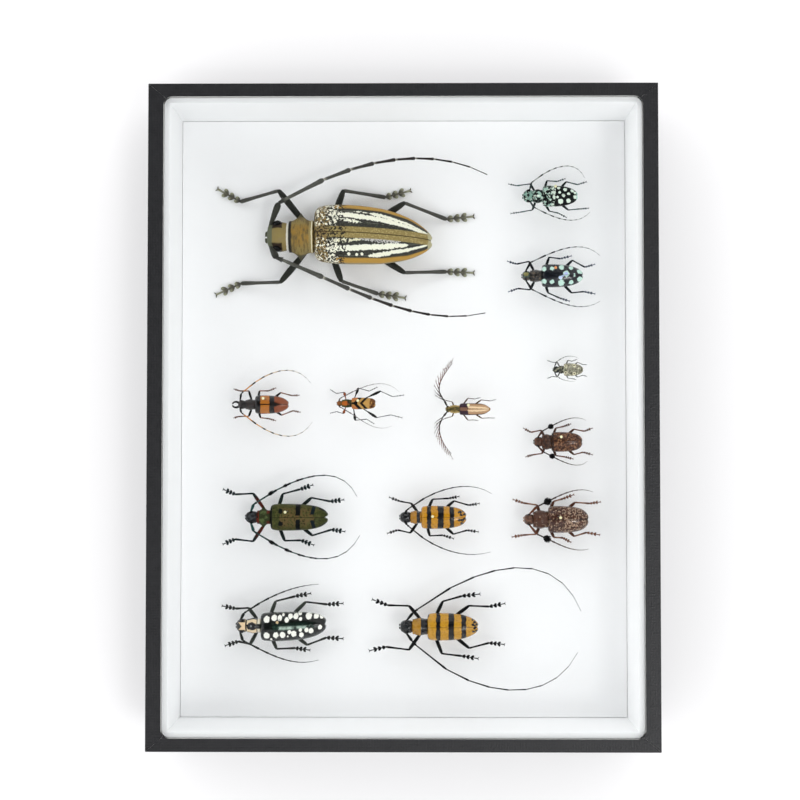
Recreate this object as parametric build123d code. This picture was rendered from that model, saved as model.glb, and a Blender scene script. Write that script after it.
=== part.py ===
from build123d import *
import os
from dataclasses import dataclass
from math import cos, pi, sin

# An insect specimen box of paper-covered board with a glazed lift-off lid.
# Thirteen set longhorn beetles stand on pins in white foam.
# Origin at the middle of the underside, X right, Y towards the back, Z up, millimetres.

# Outside of the box
box_width = 230.0
box_length = 300.0
box_height = 54.0
base_height = 36.0
paper_thickness = 0.4
paper_turn_in = 8.0
mitre_gap = 0.12
mitre_reach = 0.9

# Boards of the base
bottom_board_thickness = 2.5
side_wall_thickness = 6.6
end_wall_thickness = 5.6

# Raised inner neck that guides the lid
neck_thickness = 2.5
neck_corner_radius = 3.5
neck_below_glass = 0.4

# Lid
lid_clearance = 0.3
glass_thickness = 2.0
glass_seat = 3.0
glass_clearance = 0.2
window_overhang = 0.1
window_corner_radius = 4.0
lid_turn_in = 3.0

# Pinning foam
foam_thickness = 9.6
foam_clearance = 0.2
hole_clearance = 0.03

# Pins
pin_length = 38.0
pin_diameter = 0.5
pin_point = 1.6
pin_head_diameter = 1.3
pin_head_height = 0.9
pin_above_board = 0.1
specimen_clearance = 0.02
pin_point_share = 0.12
pin_head_profile = ((0.85, 0.8), (1.0, 0.5), (0.45, 0.0))
hidden_pin_cover = 1.2
hidden_pin_level = 0.8

# Set beetles
back_above_foam = 16.0
body_sides = 10
leg_sides = 4
antenna_sides = 4
pin_sides = 6
antenna_joints = 8

# Body sections, as shares of a beetle's own sizes
back_share = 0.55
shield_rise = 0.82
shield_drop = 0.85
shield_overlap = 0.06
head_rise = 0.66
head_drop = 0.86
head_overlap = 0.05
tail_lift = 0.35
drift_balance = 0.35
spine_place = 0.5
spine_root = 0.3
spine_tip = 0.15
jaw_reach = 0.02
jaw_root = 0.35
jaw_bend = 0.45
jaw_level = 0.2
jaw_spreads = (0.24, 0.35, 0.09)
jaw_thickness = 0.075
jaw_tip = 0.1

# Limbs, as shares of a beetle's own sizes
hip_spread = 0.14
hip_level = 0.55
knee_level = 0.15
bulge_place = 0.7
pad_place = 0.55
ankle_lift = 0.1
pad_sink = 0.4
claw_sink = 0.8
leg_swell = (0.75, 1.0, 0.62, 0.5, 0.62, 0.2)
antenna_root_level = 0.10
elbow_level = 0.62
whip_fall = 0.45
root_swell = 1.1
elbow_swell = 1.45
whip_swell = 1.15
whip_taper = 0.75
tuft_length = 2.2
tuft_swell = (0.3, 0.8, 0.4)
rami_lean = 0.42
rami_swell = (0.6, 0.35)

# Levels and half sizes that follow from the sizes above
half_width = box_width / 2
half_length = box_length / 2
core_half = (half_width - paper_thickness, half_length - paper_thickness)
neck_outer = (core_half[0] - side_wall_thickness, core_half[1] - end_wall_thickness)
tray_half = (neck_outer[0] - neck_thickness, neck_outer[1] - neck_thickness)
lath_inner = (neck_outer[0] + lid_clearance, neck_outer[1] + lid_clearance)
pocket_half = (lath_inner[0] + glass_seat, lath_inner[1] + glass_seat)
window_half = (lath_inner[0] - window_overhang, lath_inner[1] - window_overhang)

board_bottom = paper_thickness
board_top = board_bottom + bottom_board_thickness
foam_top = board_top + foam_thickness
wall_top = base_height - paper_thickness
lath_bottom = base_height + paper_thickness
lath_top = box_height - paper_thickness
glass_bottom = lath_top - glass_thickness
neck_top = glass_bottom - neck_below_glass

sides = ("left", "right", "front", "back")


def block(half, bottom, top):
    """A rectangular block centred on the box, between two levels."""
    height = top - bottom
    return Pos(0, 0, bottom) * Box(
        2 * half[0], 2 * half[1], height, align=(Align.CENTER, Align.CENTER, Align.MIN)
    )


def rounded_block(half, radius, bottom, top):
    """The same block with its four upright edges rounded."""
    outline = RectangleRounded(2 * half[0], 2 * half[1], radius)
    return Pos(0, 0, bottom) * extrude(outline, top - bottom)


def mitre_sector(side, outer, inner, gap):
    """One side's share of a frame, bounded by the mitres through its corners."""
    run = (outer[0] - inner[0], outer[1] - inner[1])
    reach = (outer[0] + run[0], outer[1] + run[1])
    depth = min(inner[0] / run[0], inner[1] / run[1]) * mitre_reach
    root = (inner[0] - depth * run[0], inner[1] - depth * run[1])
    if side in ("left", "right"):
        sign = -1 if side == "left" else 1
        corners = [
            (sign * reach[0], reach[1] - gap),
            (sign * reach[0], gap - reach[1]),
            (sign * root[0], gap - root[1]),
            (sign * root[0], root[1] - gap),
        ]
    else:
        sign = -1 if side == "front" else 1
        corners = [
            (reach[0] - gap, sign * reach[1]),
            (gap - reach[0], sign * reach[1]),
            (gap - root[0], sign * root[1]),
            (root[0] - gap, sign * root[1]),
        ]
    face = Face(Wire.make_polygon([Vector(x, y, -1) for x, y in corners], close=True))
    return extrude(face, box_height + 2, dir=(0, 0, 1))


def frame_side(frame, side, outer, inner, gap=0.0):
    """Cut one mitred side out of a whole frame."""
    return frame & mitre_sector(side, outer, inner, gap)


def write(name, shape):
    """Check that a piece is sound and write it under its own name."""
    solids = shape.solids()
    assert solids, name
    assert all(solid.is_valid for solid in solids), name
    export_step(Compound(solids) if len(solids) > 1 else solids[0], f"parts/{name}.step")
    return shape


def bottom_board():
    """The board under everything, with the walls standing on its rim."""
    return block(core_half, board_bottom, board_top)


def bottom_cover_sheet():
    """Paper over the underside, inside the turned-in edges of the wall covers."""
    inside = half_width - paper_turn_in - mitre_gap
    return block((inside, half_length - paper_turn_in - mitre_gap), 0, paper_thickness)


def base_wall(side):
    """A wall board between the bottom board and the ledge that carries the lid."""
    frame = block(core_half, board_top, wall_top) - block(neck_outer, board_top - 1, wall_top + 1)
    return frame_side(frame, side, core_half, neck_outer)


def base_cover(side):
    """Paper over a wall: up the outside, over the ledge and under the bottom."""
    outer = (half_width, half_length)
    turned = (half_width - paper_turn_in, half_length - paper_turn_in)
    skin = block(outer, 0, base_height) - block(core_half, paper_thickness, wall_top)
    skin -= block(neck_outer, wall_top - 1, base_height + 1)
    skin -= block(turned, -1, paper_thickness + 1)
    return frame_side(skin, side, outer, neck_outer, mitre_gap / 2)


def neck(side):
    """A thin strip that stands up past the ledge and takes the lid around it."""
    frame = rounded_block(neck_outer, neck_corner_radius, board_top, neck_top)
    frame -= block(tray_half, board_top - 1, neck_top + 1)
    return frame_side(frame, side, neck_outer, tray_half)


def lid_wall(side):
    """A lath of the lid, rebated at the top for the glass."""
    frame = block(core_half, lath_bottom, lath_top)
    frame -= block(lath_inner, lath_bottom - 1, lath_top + 1)
    frame -= block(pocket_half, glass_bottom, lath_top + 1)
    return frame_side(frame, side, core_half, lath_inner)


def glass_pane():
    """The window, lying in the rebate of the laths."""
    half = (pocket_half[0] - glass_clearance, pocket_half[1] - glass_clearance)
    return block(half, glass_bottom, lath_top)


def lid_cover(side):
    """Paper that holds the glass down, runs down the lath and turns in under it."""
    outer = (half_width, half_length)
    turned = (core_half[0] - lid_turn_in, core_half[1] - lid_turn_in)
    skin = block(outer, base_height, box_height) - block(core_half, lath_bottom, lath_top)
    skin -= rounded_block(window_half, window_corner_radius, lath_top - 1, box_height + 1)
    skin -= block(turned, base_height - 1, lath_bottom + 1)
    return frame_side(skin, side, outer, window_half, mitre_gap / 2)


# Wing case outlines: share of their length, then share of the full half width
tapered = ((0.0, 0.80), (0.07, 0.97), (0.30, 1.0), (0.58, 0.94), (0.80, 0.72), (0.94, 0.40), (1.0, 0.14))
oval = ((0.0, 0.86), (0.06, 1.0), (0.40, 1.0), (0.68, 0.89), (0.84, 0.70), (0.95, 0.46), (1.0, 0.22))
straight = ((0.0, 0.84), (0.06, 0.99), (0.35, 1.0), (0.68, 0.93), (0.86, 0.76), (0.96, 0.50), (1.0, 0.26))
blunt = ((0.0, 0.86), (0.06, 1.0), (0.40, 1.0), (0.75, 0.93), (0.90, 0.83), (0.97, 0.60), (1.0, 0.36))

# Neck shield and head: share of their length, then share of their full half width
shield_outline = ((0.0, 0.80), (0.25, 0.93), (0.5, 1.0), (0.8, 0.92), (1.0, 0.84))
head_outline = ((0.0, 0.55), (0.18, 0.82), (0.5, 1.0), (0.8, 0.95), (1.0, 0.88))


@dataclass
class Beetle:
    """One set beetle, lengths from the middle of its body, head towards minus X."""

    place: tuple
    length: float
    head_length: float
    head_width: float
    shield_length: float
    shield_width: float
    width: float
    outline: tuple
    legs: tuple
    antennae: tuple
    pin: tuple
    femur: float
    feeler: float
    tail_drift: float = 0.0
    spine: float = 0.0
    tufts: tuple = ()
    rami: float = 0.0
    jaws: float = 0.0
    hidden_pin: bool = False
    depth_share: float = 0.72
    extra_height: float = 0.0

    @property
    def centre(self):
        return (self.place[0] * tray_half[0], self.place[1] * tray_half[1])

    @property
    def depth(self):
        return self.width * self.depth_share

    @property
    def rise(self):
        return self.depth * back_share

    @property
    def drop(self):
        return self.depth * (1 - back_share)

    @property
    def middle(self):
        """Height of the widest level of the body above the underside of the box."""
        return foam_top + back_above_foam + self.extra_height - self.rise


beetles = {}

beetles["striped"] = Beetle(
    place=(-0.238, 0.598), length=78.0, head_length=10.0, head_width=14.5,
    shield_length=12.0, shield_width=17.5, width=28.0, outline=tapered,
    tail_drift=-3.6, spine=2.2, femur=1.6, feeler=1.0, pin=(1.5, 2.5),
    hidden_pin=True, extra_height=4.0, depth_share=0.66,
    legs=(
        (
            -19.0, ((-34.0, 22.5), (-52.5, 18.0), (-64.0, 24.5)),
            ((-33.0, -21.5), (-52.0, -21.0), (-64.5, -26.5)),
        ),
        (-10.0, ((-3.0, 22.5), (16.5, 20.0), (29.0, 23.5)), ((-4.0, -21.0), (13.0, -26.0), (26.5, -28.0))),
        (6.0, ((26.0, 16.5), (45.5, 9.5), (59.0, 11.0)), ((26.0, -17.0), (45.5, -15.5), (59.0, -16.0))),
    ),
    antennae=(
        ((-37.5, 4.5), (-33.0, 15.0), (-2.5, 30.0), (31.5, 36.5), (64.5, 29.0)),
        ((-37.5, -4.0), (-34.0, -10.5), (-2.5, -24.0), (30.0, -35.5), (63.5, -36.0)),
    ),
)

beetles["mint"] = Beetle(
    place=(0.653, 0.730), length=25.5, head_length=4.5, head_width=6.0,
    shield_length=4.5, shield_width=6.6, width=9.8, outline=oval,
    femur=0.55, feeler=0.3, pin=(1.0, 2.0),
    legs=(
        (-6.5, ((-9.5, 6.0), (-15.5, 5.5), (-19.5, 6.5)), ((-8.5, -6.5), (-14.0, -7.0), (-18.5, -7.5))),
        (-3.5, ((-1.5, 7.5), (3.5, 7.5), (7.5, 9.0)), ((-0.5, -7.0), (4.0, -7.5), (8.0, -9.5))),
        (2.5, ((7.5, 7.0), (13.0, 6.0), (17.5, 7.5)), ((8.5, -6.5), (14.0, -5.5), (18.5, -5.0))),
    ),
    antennae=(
        ((-10.0, 2.0), (-9.0, 6.0), (-1.0, 11.5), (8.5, 14.0), (16.0, 8.5)),
        ((-10.0, -2.0), (-8.0, -5.5), (0.5, -9.5), (10.0, -11.5), (18.5, -7.5)),
    ),
)

beetles["blue_spotted"] = Beetle(
    place=(0.662, 0.466), length=28.5, head_length=3.5, head_width=4.8,
    shield_length=5.5, shield_width=6.0, width=10.8, outline=oval,
    femur=0.65, feeler=0.35, pin=(0.0, 2.0),
    legs=(
        (-8.0, ((-11.0, 7.0), (-16.5, 6.0), (-21.0, 7.5)), ((-10.5, -6.5), (-16.0, -5.5), (-20.5, -7.0))),
        (-4.0, ((-1.5, 9.0), (4.0, 8.5), (9.5, 10.0)), ((-2.0, -8.0), (3.5, -10.0), (8.5, -11.5))),
        (3.0, ((9.5, 7.5), (15.5, 4.5), (20.5, 6.0)), ((9.0, -8.0), (15.0, -7.0), (20.5, -8.0))),
    ),
    antennae=(
        ((-13.0, 1.5), (-10.5, 6.0), (0.5, 11.0), (12.0, 13.5), (22.0, 9.5)),
        ((-13.0, -1.5), (-10.0, -6.5), (0.5, -11.5), (11.5, -14.5), (22.0, -12.0)),
    ),
)

beetles["speckled"] = Beetle(
    place=(0.727, 0.155), length=14.0, head_length=2.6, head_width=3.0,
    shield_length=2.4, shield_width=3.8, width=5.9, outline=oval,
    femur=0.32, feeler=0.2, pin=(0.0, 0.8), hidden_pin=True,
    legs=(
        (-3.5, ((-5.0, 3.5), (-7.0, 3.5), (-9.5, 4.5)), ((-5.0, -3.5), (-7.0, -3.0), (-9.5, -4.0))),
        (-1.5, ((0.0, 4.5), (2.0, 4.0), (4.5, 5.0)), ((0.0, -4.0), (2.0, -4.0), (4.0, -4.5))),
        (1.5, ((4.5, 3.5), (7.0, 2.5), (9.0, 2.5)), ((4.5, -3.5), (7.0, -2.5), (9.0, -3.0))),
    ),
    antennae=(
        ((-6.5, 1.0), (-5.5, 3.5), (-2.5, 5.5), (1.0, 6.3), (5.0, 5.2)),
        ((-6.5, -1.0), (-5.5, -3.0), (-3.0, -4.5), (0.0, -5.3), (3.0, -5.5)),
    ),
)

beetles["red_tufted"] = Beetle(
    place=(0.683, -0.083), length=22.5, head_length=3.6, head_width=4.8,
    shield_length=4.4, shield_width=7.4, width=9.2, outline=straight,
    femur=0.6, feeler=0.32, pin=(0.0, 2.2), tufts=(1.0, 2.4),
    legs=(
        (-5.5, ((-8.0, 5.5), (-12.5, 4.5), (-16.0, 6.5)), ((-7.5, -5.5), (-11.5, -6.0), (-15.0, -7.0))),
        (-3.0, ((-1.0, 6.5), (3.0, 7.3), (6.5, 8.5)), ((-1.0, -6.5), (3.5, -7.0), (7.5, -8.0))),
        (2.0, ((7.5, 6.0), (12.5, 5.0), (16.5, 6.5)), ((7.5, -6.0), (12.0, -4.8), (16.5, -6.0))),
    ),
    antennae=(
        ((-10.0, 1.5), (-7.5, 5.0), (-1.0, 8.5), (6.0, 11.0), (13.0, 10.0)),
        ((-10.0, -1.5), (-7.0, -4.7), (-0.5, -8.0), (7.0, -10.7), (13.5, -9.0)),
    ),
)

beetles["brown_tufted"] = Beetle(
    place=(0.675, -0.338), length=30.0, head_length=4.0, head_width=5.4,
    shield_length=7.0, shield_width=8.8, width=12.5, outline=straight,
    femur=0.75, feeler=0.4, pin=(0.5, 1.5), tufts=(1.6, 2.4),
    legs=(
        (-7.0, ((-9.0, 6.8), (-15.0, 7.5), (-20.0, 9.2)), ((-9.3, -7.0), (-15.2, -7.5), (-20.5, -8.5))),
        (-4.0, ((-1.0, 8.5), (3.5, 9.5), (9.0, 11.5)), ((-1.0, -8.5), (3.5, -8.8), (7.5, -11.0))),
        (2.0, ((9.0, 8.0), (16.0, 7.3), (21.5, 8.0)), ((8.5, -8.0), (14.5, -6.3), (21.0, -7.5))),
    ),
    antennae=(
        ((-13.0, 2.0), (-9.3, 6.0), (-1.0, 10.0), (8.0, 13.4), (17.0, 12.8)),
        ((-13.0, -2.0), (-9.2, -6.7), (-1.3, -10.4), (6.8, -13.6), (15.0, -13.7)),
    ),
)

beetles["orange_black"] = Beetle(
    place=(-0.618, 0.040), length=23.8, head_length=3.3, head_width=4.2,
    shield_length=4.6, shield_width=5.2, width=8.7, outline=oval,
    femur=0.55, feeler=0.32, pin=(1.2, 2.4), jaws=2.8,
    legs=(
        (-5.5, ((-7.0, 6.5), (-11.5, 6.5), (-14.5, 7.5)), ((-7.0, -5.5), (-12.0, -5.5), (-14.5, -6.2))),
        (-3.0, ((-2.0, 6.5), (2.0, 6.5), (5.5, 8.0)), ((-1.5, -6.2), (2.2, -6.5), (5.5, -7.5))),
        (2.5, ((8.0, 5.7), (13.0, 4.3), (16.5, 4.5)), ((8.5, -5.0), (13.5, -2.8), (17.0, -3.5))),
    ),
    antennae=(
        ((-11.0, 1.5), (-10.3, 5.0), (-0.3, 12.6), (11.5, 16.0), (22.0, 10.0)),
        ((-11.0, -1.5), (-10.3, -3.6), (0.1, -11.2), (12.3, -14.8), (22.8, -8.0)),
    ),
)

beetles["golden"] = Beetle(
    place=(-0.208, 0.044), length=18.0, head_length=2.2, head_width=2.6,
    shield_length=4.6, shield_width=4.0, width=5.4, outline=blunt,
    femur=0.5, feeler=0.22, pin=(1.2, 0.9),
    legs=(
        (-4.5, ((-5.7, 5.3), (-9.4, 4.7), (-12.3, 6.6)), ((-6.1, -4.8), (-9.2, -3.8), (-12.4, -4.5))),
        (-1.5, ((1.0, 7.3), (6.0, 5.8), (9.8, 7.7)), ((-0.5, -8.0), (4.8, -7.3), (8.3, -9.5))),
        (0.5, ((11.5, 5.8), (16.9, 3.2), (22.3, 4.0)), ((9.7, -6.7), (16.1, -5.3), (21.5, -6.7))),
    ),
    antennae=(
        ((-8.3, 0.7), (-7.5, 2.3), (1.4, 6.8), (11.2, 9.2), (20.0, 5.3)),
        ((-8.3, -0.7), (-7.5, -1.8), (0.0, -6.3), (8.0, -10.8), (16.6, -10.5)),
    ),
)

beetles["feather_horned"] = Beetle(
    place=(0.286, 0.025), length=20.8, head_length=1.9, head_width=3.0,
    shield_length=4.4, shield_width=4.0, width=5.5, outline=straight,
    femur=0.35, feeler=0.3, pin=(-0.4, 1.5), rami=5.0,
    legs=(
        (-6.5, ((-7.4, 3.4), (-10.6, 4.2), (-14.3, 7.0)), ((-7.4, -3.4), (-10.9, -4.3), (-14.8, -6.8))),
        (-3.5, ((0.0, 5.2), (3.0, 4.8), (5.8, 5.5)), ((0.0, -5.2), (2.5, -5.0), (4.8, -5.2))),
        (1.0, ((6.2, 4.4), (10.4, 3.9), (13.0, 4.6)), ((6.5, -4.3), (9.9, -4.0), (12.5, -4.1))),
    ),
    antennae=(
        ((-9.6, 1.0), (-11.0, 3.7), (-13.6, 9.9), (-11.2, 16.0), (-7.2, 21.5)),
        ((-9.6, -1.0), (-11.4, -3.2), (-13.5, -9.1), (-11.7, -15.4), (-7.7, -20.7)),
    ),
)

beetles["olive"] = Beetle(
    place=(-0.515, -0.331), length=38.5, head_length=5.2, head_width=5.8,
    shield_length=6.3, shield_width=7.4, width=12.5, outline=straight,
    femur=0.85, feeler=0.45, pin=(0.5, 3.0), spine=1.2,
    legs=(
        (
            -9.5, ((-16.0, 11.2), (-24.6, 10.5), (-30.6, 12.9)),
            ((-16.0, -11.5), (-24.7, -10.5), (-30.7, -13.0)),
        ),
        (-5.0, ((-2.0, 11.0), (5.8, 12.9), (12.0, 15.0)), ((-1.0, -11.2), (6.3, -11.0), (12.5, -13.4))),
        (3.0, ((11.5, 9.2), (20.1, 7.2), (26.6, 8.0)), ((12.0, -8.7), (20.6, -6.0), (27.1, -7.0))),
    ),
    antennae=(
        ((-17.0, 2.0), (-15.3, 6.0), (1.0, 15.5), (19.2, 19.5), (32.7, 9.6)),
        ((-17.0, -2.0), (-15.2, -6.4), (1.4, -15.7), (19.8, -19.1), (34.0, -8.4)),
    ),
)

beetles["gold_banded"] = Beetle(
    place=(0.132, -0.331), length=31.0, head_length=4.8, head_width=4.6,
    shield_length=5.0, shield_width=6.4, width=10.8, outline=straight,
    femur=0.7, feeler=0.36, pin=(-0.5, 1.0),
    legs=(
        (-6.5, ((-10.4, 6.6), (-15.4, 7.3), (-20.7, 9.2)), ((-10.7, -7.4), (-16.6, -6.1), (-21.6, -7.8))),
        (-3.5, ((-0.2, 8.5), (7.4, 8.7), (12.4, 9.6)), ((-1.6, -8.8), (4.5, -8.5), (9.8, -10.2))),
        (2.5, ((9.9, 7.7), (16.7, 5.5), (21.9, 6.3)), ((9.5, -8.0), (15.9, -6.2), (21.4, -7.0))),
    ),
    antennae=(
        ((-13.6, 1.2), (-12.3, 3.4), (-0.3, 10.8), (13.8, 14.4), (27.2, 11.0)),
        ((-13.6, -1.2), (-12.3, -3.2), (-1.2, -11.7), (12.4, -16.7), (26.8, -16.0)),
    ),
)

beetles["white_spotted"] = Beetle(
    place=(-0.537, -0.687), length=42.0, head_length=4.8, head_width=6.6,
    shield_length=6.4, shield_width=7.4, width=13.6, outline=straight,
    tail_drift=1.5, femur=0.9, feeler=0.45, pin=(-0.6, 3.3),
    legs=(
        (-11.0, ((-15.6, 8.2), (-22.0, 7.4), (-28.7, 8.6)), ((-14.8, -8.9), (-20.7, -7.9), (-27.2, -10.1))),
        (-6.5, ((-2.8, 11.4), (6.0, 13.2), (13.5, 14.5)), ((-2.3, -11.1), (6.0, -11.0), (13.1, -12.1))),
        (2.0, ((11.4, 11.1), (21.0, 9.4), (28.7, 9.8)), ((12.1, -9.2), (20.6, -6.1), (28.7, -6.7))),
    ),
    antennae=(
        ((-19.5, 1.8), (-17.3, 6.0), (-6.6, 12.5), (5.0, 17.2), (17.3, 19.3)),
        ((-19.5, -2.2), (-17.8, -6.5), (-6.6, -12.3), (5.2, -16.4), (17.3, -15.8)),
    ),
)

beetles["banded"] = Beetle(
    place=(0.158, -0.690), length=36.5, head_length=5.6, head_width=6.4,
    shield_length=7.0, shield_width=8.4, width=12.8, outline=oval,
    femur=0.85, feeler=0.42, pin=(1.0, 1.5), hidden_pin=True,
    legs=(
        (
            -7.5, ((-14.2, 9.7), (-24.1, 9.5), (-31.6, 12.2)),
            ((-14.2, -11.0), (-24.8, -9.9), (-33.0, -11.9)),
        ),
        (-3.0, ((1.7, 11.8), (10.6, 13.8), (19.5, 14.7)), ((1.3, -12.8), (10.5, -14.1), (18.6, -15.5))),
        (3.5, ((14.1, 9.8), (23.4, 8.9), (31.2, 10.3)), ((14.1, -10.2), (23.4, -8.0), (30.9, -8.9))),
    ),
    antennae=(
        ((-15.8, 2.2), (-12.3, 6.6), (13.9, 22.3), (43.8, 26.9), (65.8, 7.3)),
        ((-15.8, -2.2), (-12.7, -6.2), (12.0, -23.9), (41.5, -28.6), (64.2, -11.7)),
    ),
)


def flat_face(points):
    """A flat face inside a closed run of points."""
    return Face(Wire.make_polygon(points, close=True))


def faceted_loft(rings):
    """A solid skinned with flat facets from ring to ring, capped at both ends."""
    count = len(rings[0])
    faces = [flat_face(rings[0]), flat_face(rings[-1])]
    for near, away in zip(rings, rings[1:]):
        for corner in range(count):
            following = (corner + 1) % count
            faces.append(flat_face([near[corner], near[following], away[following]]))
            faces.append(flat_face([near[corner], away[following], away[corner]]))
    return Solid(Shell(faces))


def hull_ring(x, y, z, half_across, rise, drop):
    """One cross-section of a body: domed above, flatter below, widest at z."""
    points = []
    for corner in range(body_sides):
        turn = 2 * pi * corner / body_sides
        height = rise if sin(turn) > 0 else drop
        points.append(Vector(x, y + half_across * cos(turn), z + height * sin(turn)))
    return points


def limb(points, radii, count):
    """A tapering jointed limb through the points, its sections on a steady axis."""
    rings = []
    last = len(points) - 1
    for index, (point, radius) in enumerate(zip(points, radii)):
        before = Vector(points[max(index - 1, 0)])
        after = Vector(points[min(index + 1, last)])
        along = (after - before).normalized()
        section = Plane(origin=point, x_dir=Vector(0, 0, 1).cross(along), z_dir=along)
        corners = []
        for corner in range(count):
            turn = 2 * pi * corner / count
            corners.append(section.from_local_coords(Vector(radius * cos(turn), radius * sin(turn), 0)))
        rings.append(corners)
    return faceted_loft(rings)


def through_four(a, b, c, d, t):
    """Point at share t of the cubic curve that passes through four points."""
    weights = (
        (1 - 3 * t) * (2 - 3 * t) * (1 - t) / 2,
        9 * t * (1 - t) * (2 - 3 * t) / 2,
        9 * t * (1 - t) * (3 * t - 1) / 2,
        t * (1 - 3 * t) * (2 - 3 * t) / 2,
    )
    x = sum(weight * point[0] for weight, point in zip(weights, (a, b, c, d)))
    y = sum(weight * point[1] for weight, point in zip(weights, (a, b, c, d)))
    return x, y


def wing_cases(beetle, centre):
    """The closed wing cases with the abdomen under them."""
    end = centre[0] + beetle.length / 2
    start = end - beetle.length + beetle.head_length + beetle.shield_length
    rings = []
    for share, across in beetle.outline:
        lift = tail_lift + (1 - tail_lift) * across
        y = centre[1] + beetle.tail_drift * (share * share - drift_balance)
        x = start + share * (end - start)
        half_across = across * beetle.width / 2
        rings.append(hull_ring(x, y, beetle.middle, half_across, beetle.rise * lift, beetle.drop * lift))
    return faceted_loft(rings)


def neck_shield(beetle, centre):
    """The shield behind the head, bulged at mid-length, with or without side spines."""
    start = centre[0] - beetle.length / 2 + beetle.head_length
    overlap = shield_overlap * beetle.length
    rings = []
    for share, across in shield_outline:
        x = start + share * (beetle.shield_length + overlap)
        half_across = across * beetle.shield_width / 2
        rise = across * beetle.rise * shield_rise
        drop = across * beetle.drop * shield_drop
        rings.append(hull_ring(x, centre[1], beetle.middle, half_across, rise, drop))
    body = faceted_loft(rings)
    pieces = []
    if beetle.spine > 0:
        x = start + spine_place * beetle.shield_length
        root = spine_root * beetle.shield_width
        tip = beetle.shield_width / 2 + beetle.spine
        for side in (-1, 1):
            start = (x, centre[1] + side * root, beetle.middle)
            end = (x, centre[1] + side * tip, beetle.middle)
            pieces.append(limb((start, end), (beetle.spine, spine_tip), leg_sides))
    return [body] + pieces


def head(beetle, centre):
    """The head, widest at the eyes, and the jaws where they stand out."""
    front = centre[0] - beetle.length / 2
    overlap = head_overlap * beetle.length
    rings = []
    for share, across in head_outline:
        x = front + share * (beetle.head_length + overlap)
        half_across = across * beetle.head_width / 2
        rise = across * beetle.rise * head_rise
        drop = across * beetle.drop * head_drop
        rings.append(hull_ring(x, centre[1], beetle.middle, half_across, rise, drop))
    pieces = [faceted_loft(rings)]
    reach = beetle.jaws if beetle.jaws > 0 else jaw_reach * beetle.length
    root, bend, tip = [share * beetle.head_width for share in jaw_spreads]
    thickness = jaw_thickness * beetle.head_width
    level = beetle.middle - jaw_level * beetle.drop
    for side in (-1, 1):
        points = [
            (front + jaw_root * beetle.head_length, centre[1] + side * root, level),
            (front - jaw_bend * reach, centre[1] + side * bend, level),
            (front - reach, centre[1] + side * tip, level),
        ]
        pieces.append(limb(points, (thickness, thickness, jaw_tip), antenna_sides))
    return pieces


def leg(beetle, centre, hip_x, side, joints):
    """Thigh, shin and foot, hanging from the underside of the body."""
    knee, ankle, claw = joints
    hip = (hip_x, side * hip_spread * beetle.width)
    bulge = tuple(hip[axis] + bulge_place * (knee[axis] - hip[axis]) for axis in (0, 1))
    pad = tuple(ankle[axis] + pad_place * (claw[axis] - ankle[axis]) for axis in (0, 1))
    belly = beetle.middle - beetle.drop
    hip_z = beetle.middle - hip_level * beetle.drop
    knee_z = beetle.middle - knee_level * beetle.drop
    bulge_z = hip_z + bulge_place * (knee_z - hip_z)
    levels = (hip_z, bulge_z, knee_z, belly + ankle_lift, belly - pad_sink, belly - claw_sink)
    points = []
    for (x, y), z in zip((hip, bulge, knee, ankle, pad, claw), levels):
        points.append((centre[0] + x, centre[1] + y, z))
    return limb(points, [share * beetle.femur for share in leg_swell], leg_sides)


def antenna(beetle, centre, route):
    """A stout first joint, then a long whip that thins towards its tip."""
    base, elbow, third, two_thirds, tip = route
    root_z = beetle.middle + antenna_root_level * beetle.rise
    elbow_z = beetle.middle + elbow_level * beetle.rise
    points = [(centre[0] + base[0], centre[1] + base[1], root_z)]
    radii = [root_swell * beetle.feeler]
    for joint in range(antenna_joints + 1):
        t = joint / antenna_joints
        x, y = through_four(elbow, third, two_thirds, tip, t)
        points.append((centre[0] + x, centre[1] + y, elbow_z - whip_fall * beetle.rise * t))
        swell = elbow_swell if joint == 0 else whip_swell - whip_taper * t
        radii.append(beetle.feeler * swell)
    return points, radii


def antenna_parts(beetle, centre, route):
    """The antenna with the hair tuft or comb that some beetles carry on it."""
    points, radii = antenna(beetle, centre, route)
    pieces = [limb(points, radii, antenna_sides)]
    if beetle.tufts:
        thick, place = beetle.tufts
        joint = int(place)
        run = Vector(points[joint + 1]) - Vector(points[joint])
        start = Vector(points[joint]) + run * (place - joint)
        end = start + run.normalized() * tuft_length * thick
        middle = (start + end) * 0.5
        radii = [share * thick for share in tuft_swell]
        pieces.append(limb([tuple(start), tuple(middle), tuple(end)], radii, leg_sides))
    if beetle.rami > 0:
        for joint in range(2, antenna_joints + 1):
            root = Vector(points[joint])
            along = (Vector(points[joint + 1]) - Vector(points[joint - 1])).normalized()
            outward = Vector(-abs(along.Y), along.X if along.Y > 0 else -along.X, 0)
            tip = root + (outward * rami_lean + along) * beetle.rami
            radii = [share * beetle.feeler for share in rami_swell]
            pieces.append(limb([tuple(root), tuple(tip)], radii, antenna_sides))
    return pieces


def pin_hole(beetle, clearance):
    """The bore that the pin makes, through the body or up into it."""
    x, y = pin_place(beetle)
    top = hidden_pin_top(beetle) + clearance if beetle.hidden_pin else box_height
    outline = RegularPolygon(pin_diameter / 2 + clearance, pin_sides)
    return Pos(x, y, 0) * extrude(outline, top)


def pin_place(beetle):
    """Where a beetle's pin stands in the box."""
    return beetle.centre[0] + beetle.pin[0], beetle.centre[1] + beetle.pin[1]


def hidden_pin_top(beetle):
    """Top of a pin that ends inside the body, this far under the back."""
    return beetle.middle + beetle.rise * hidden_pin_level - hidden_pin_cover


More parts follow.
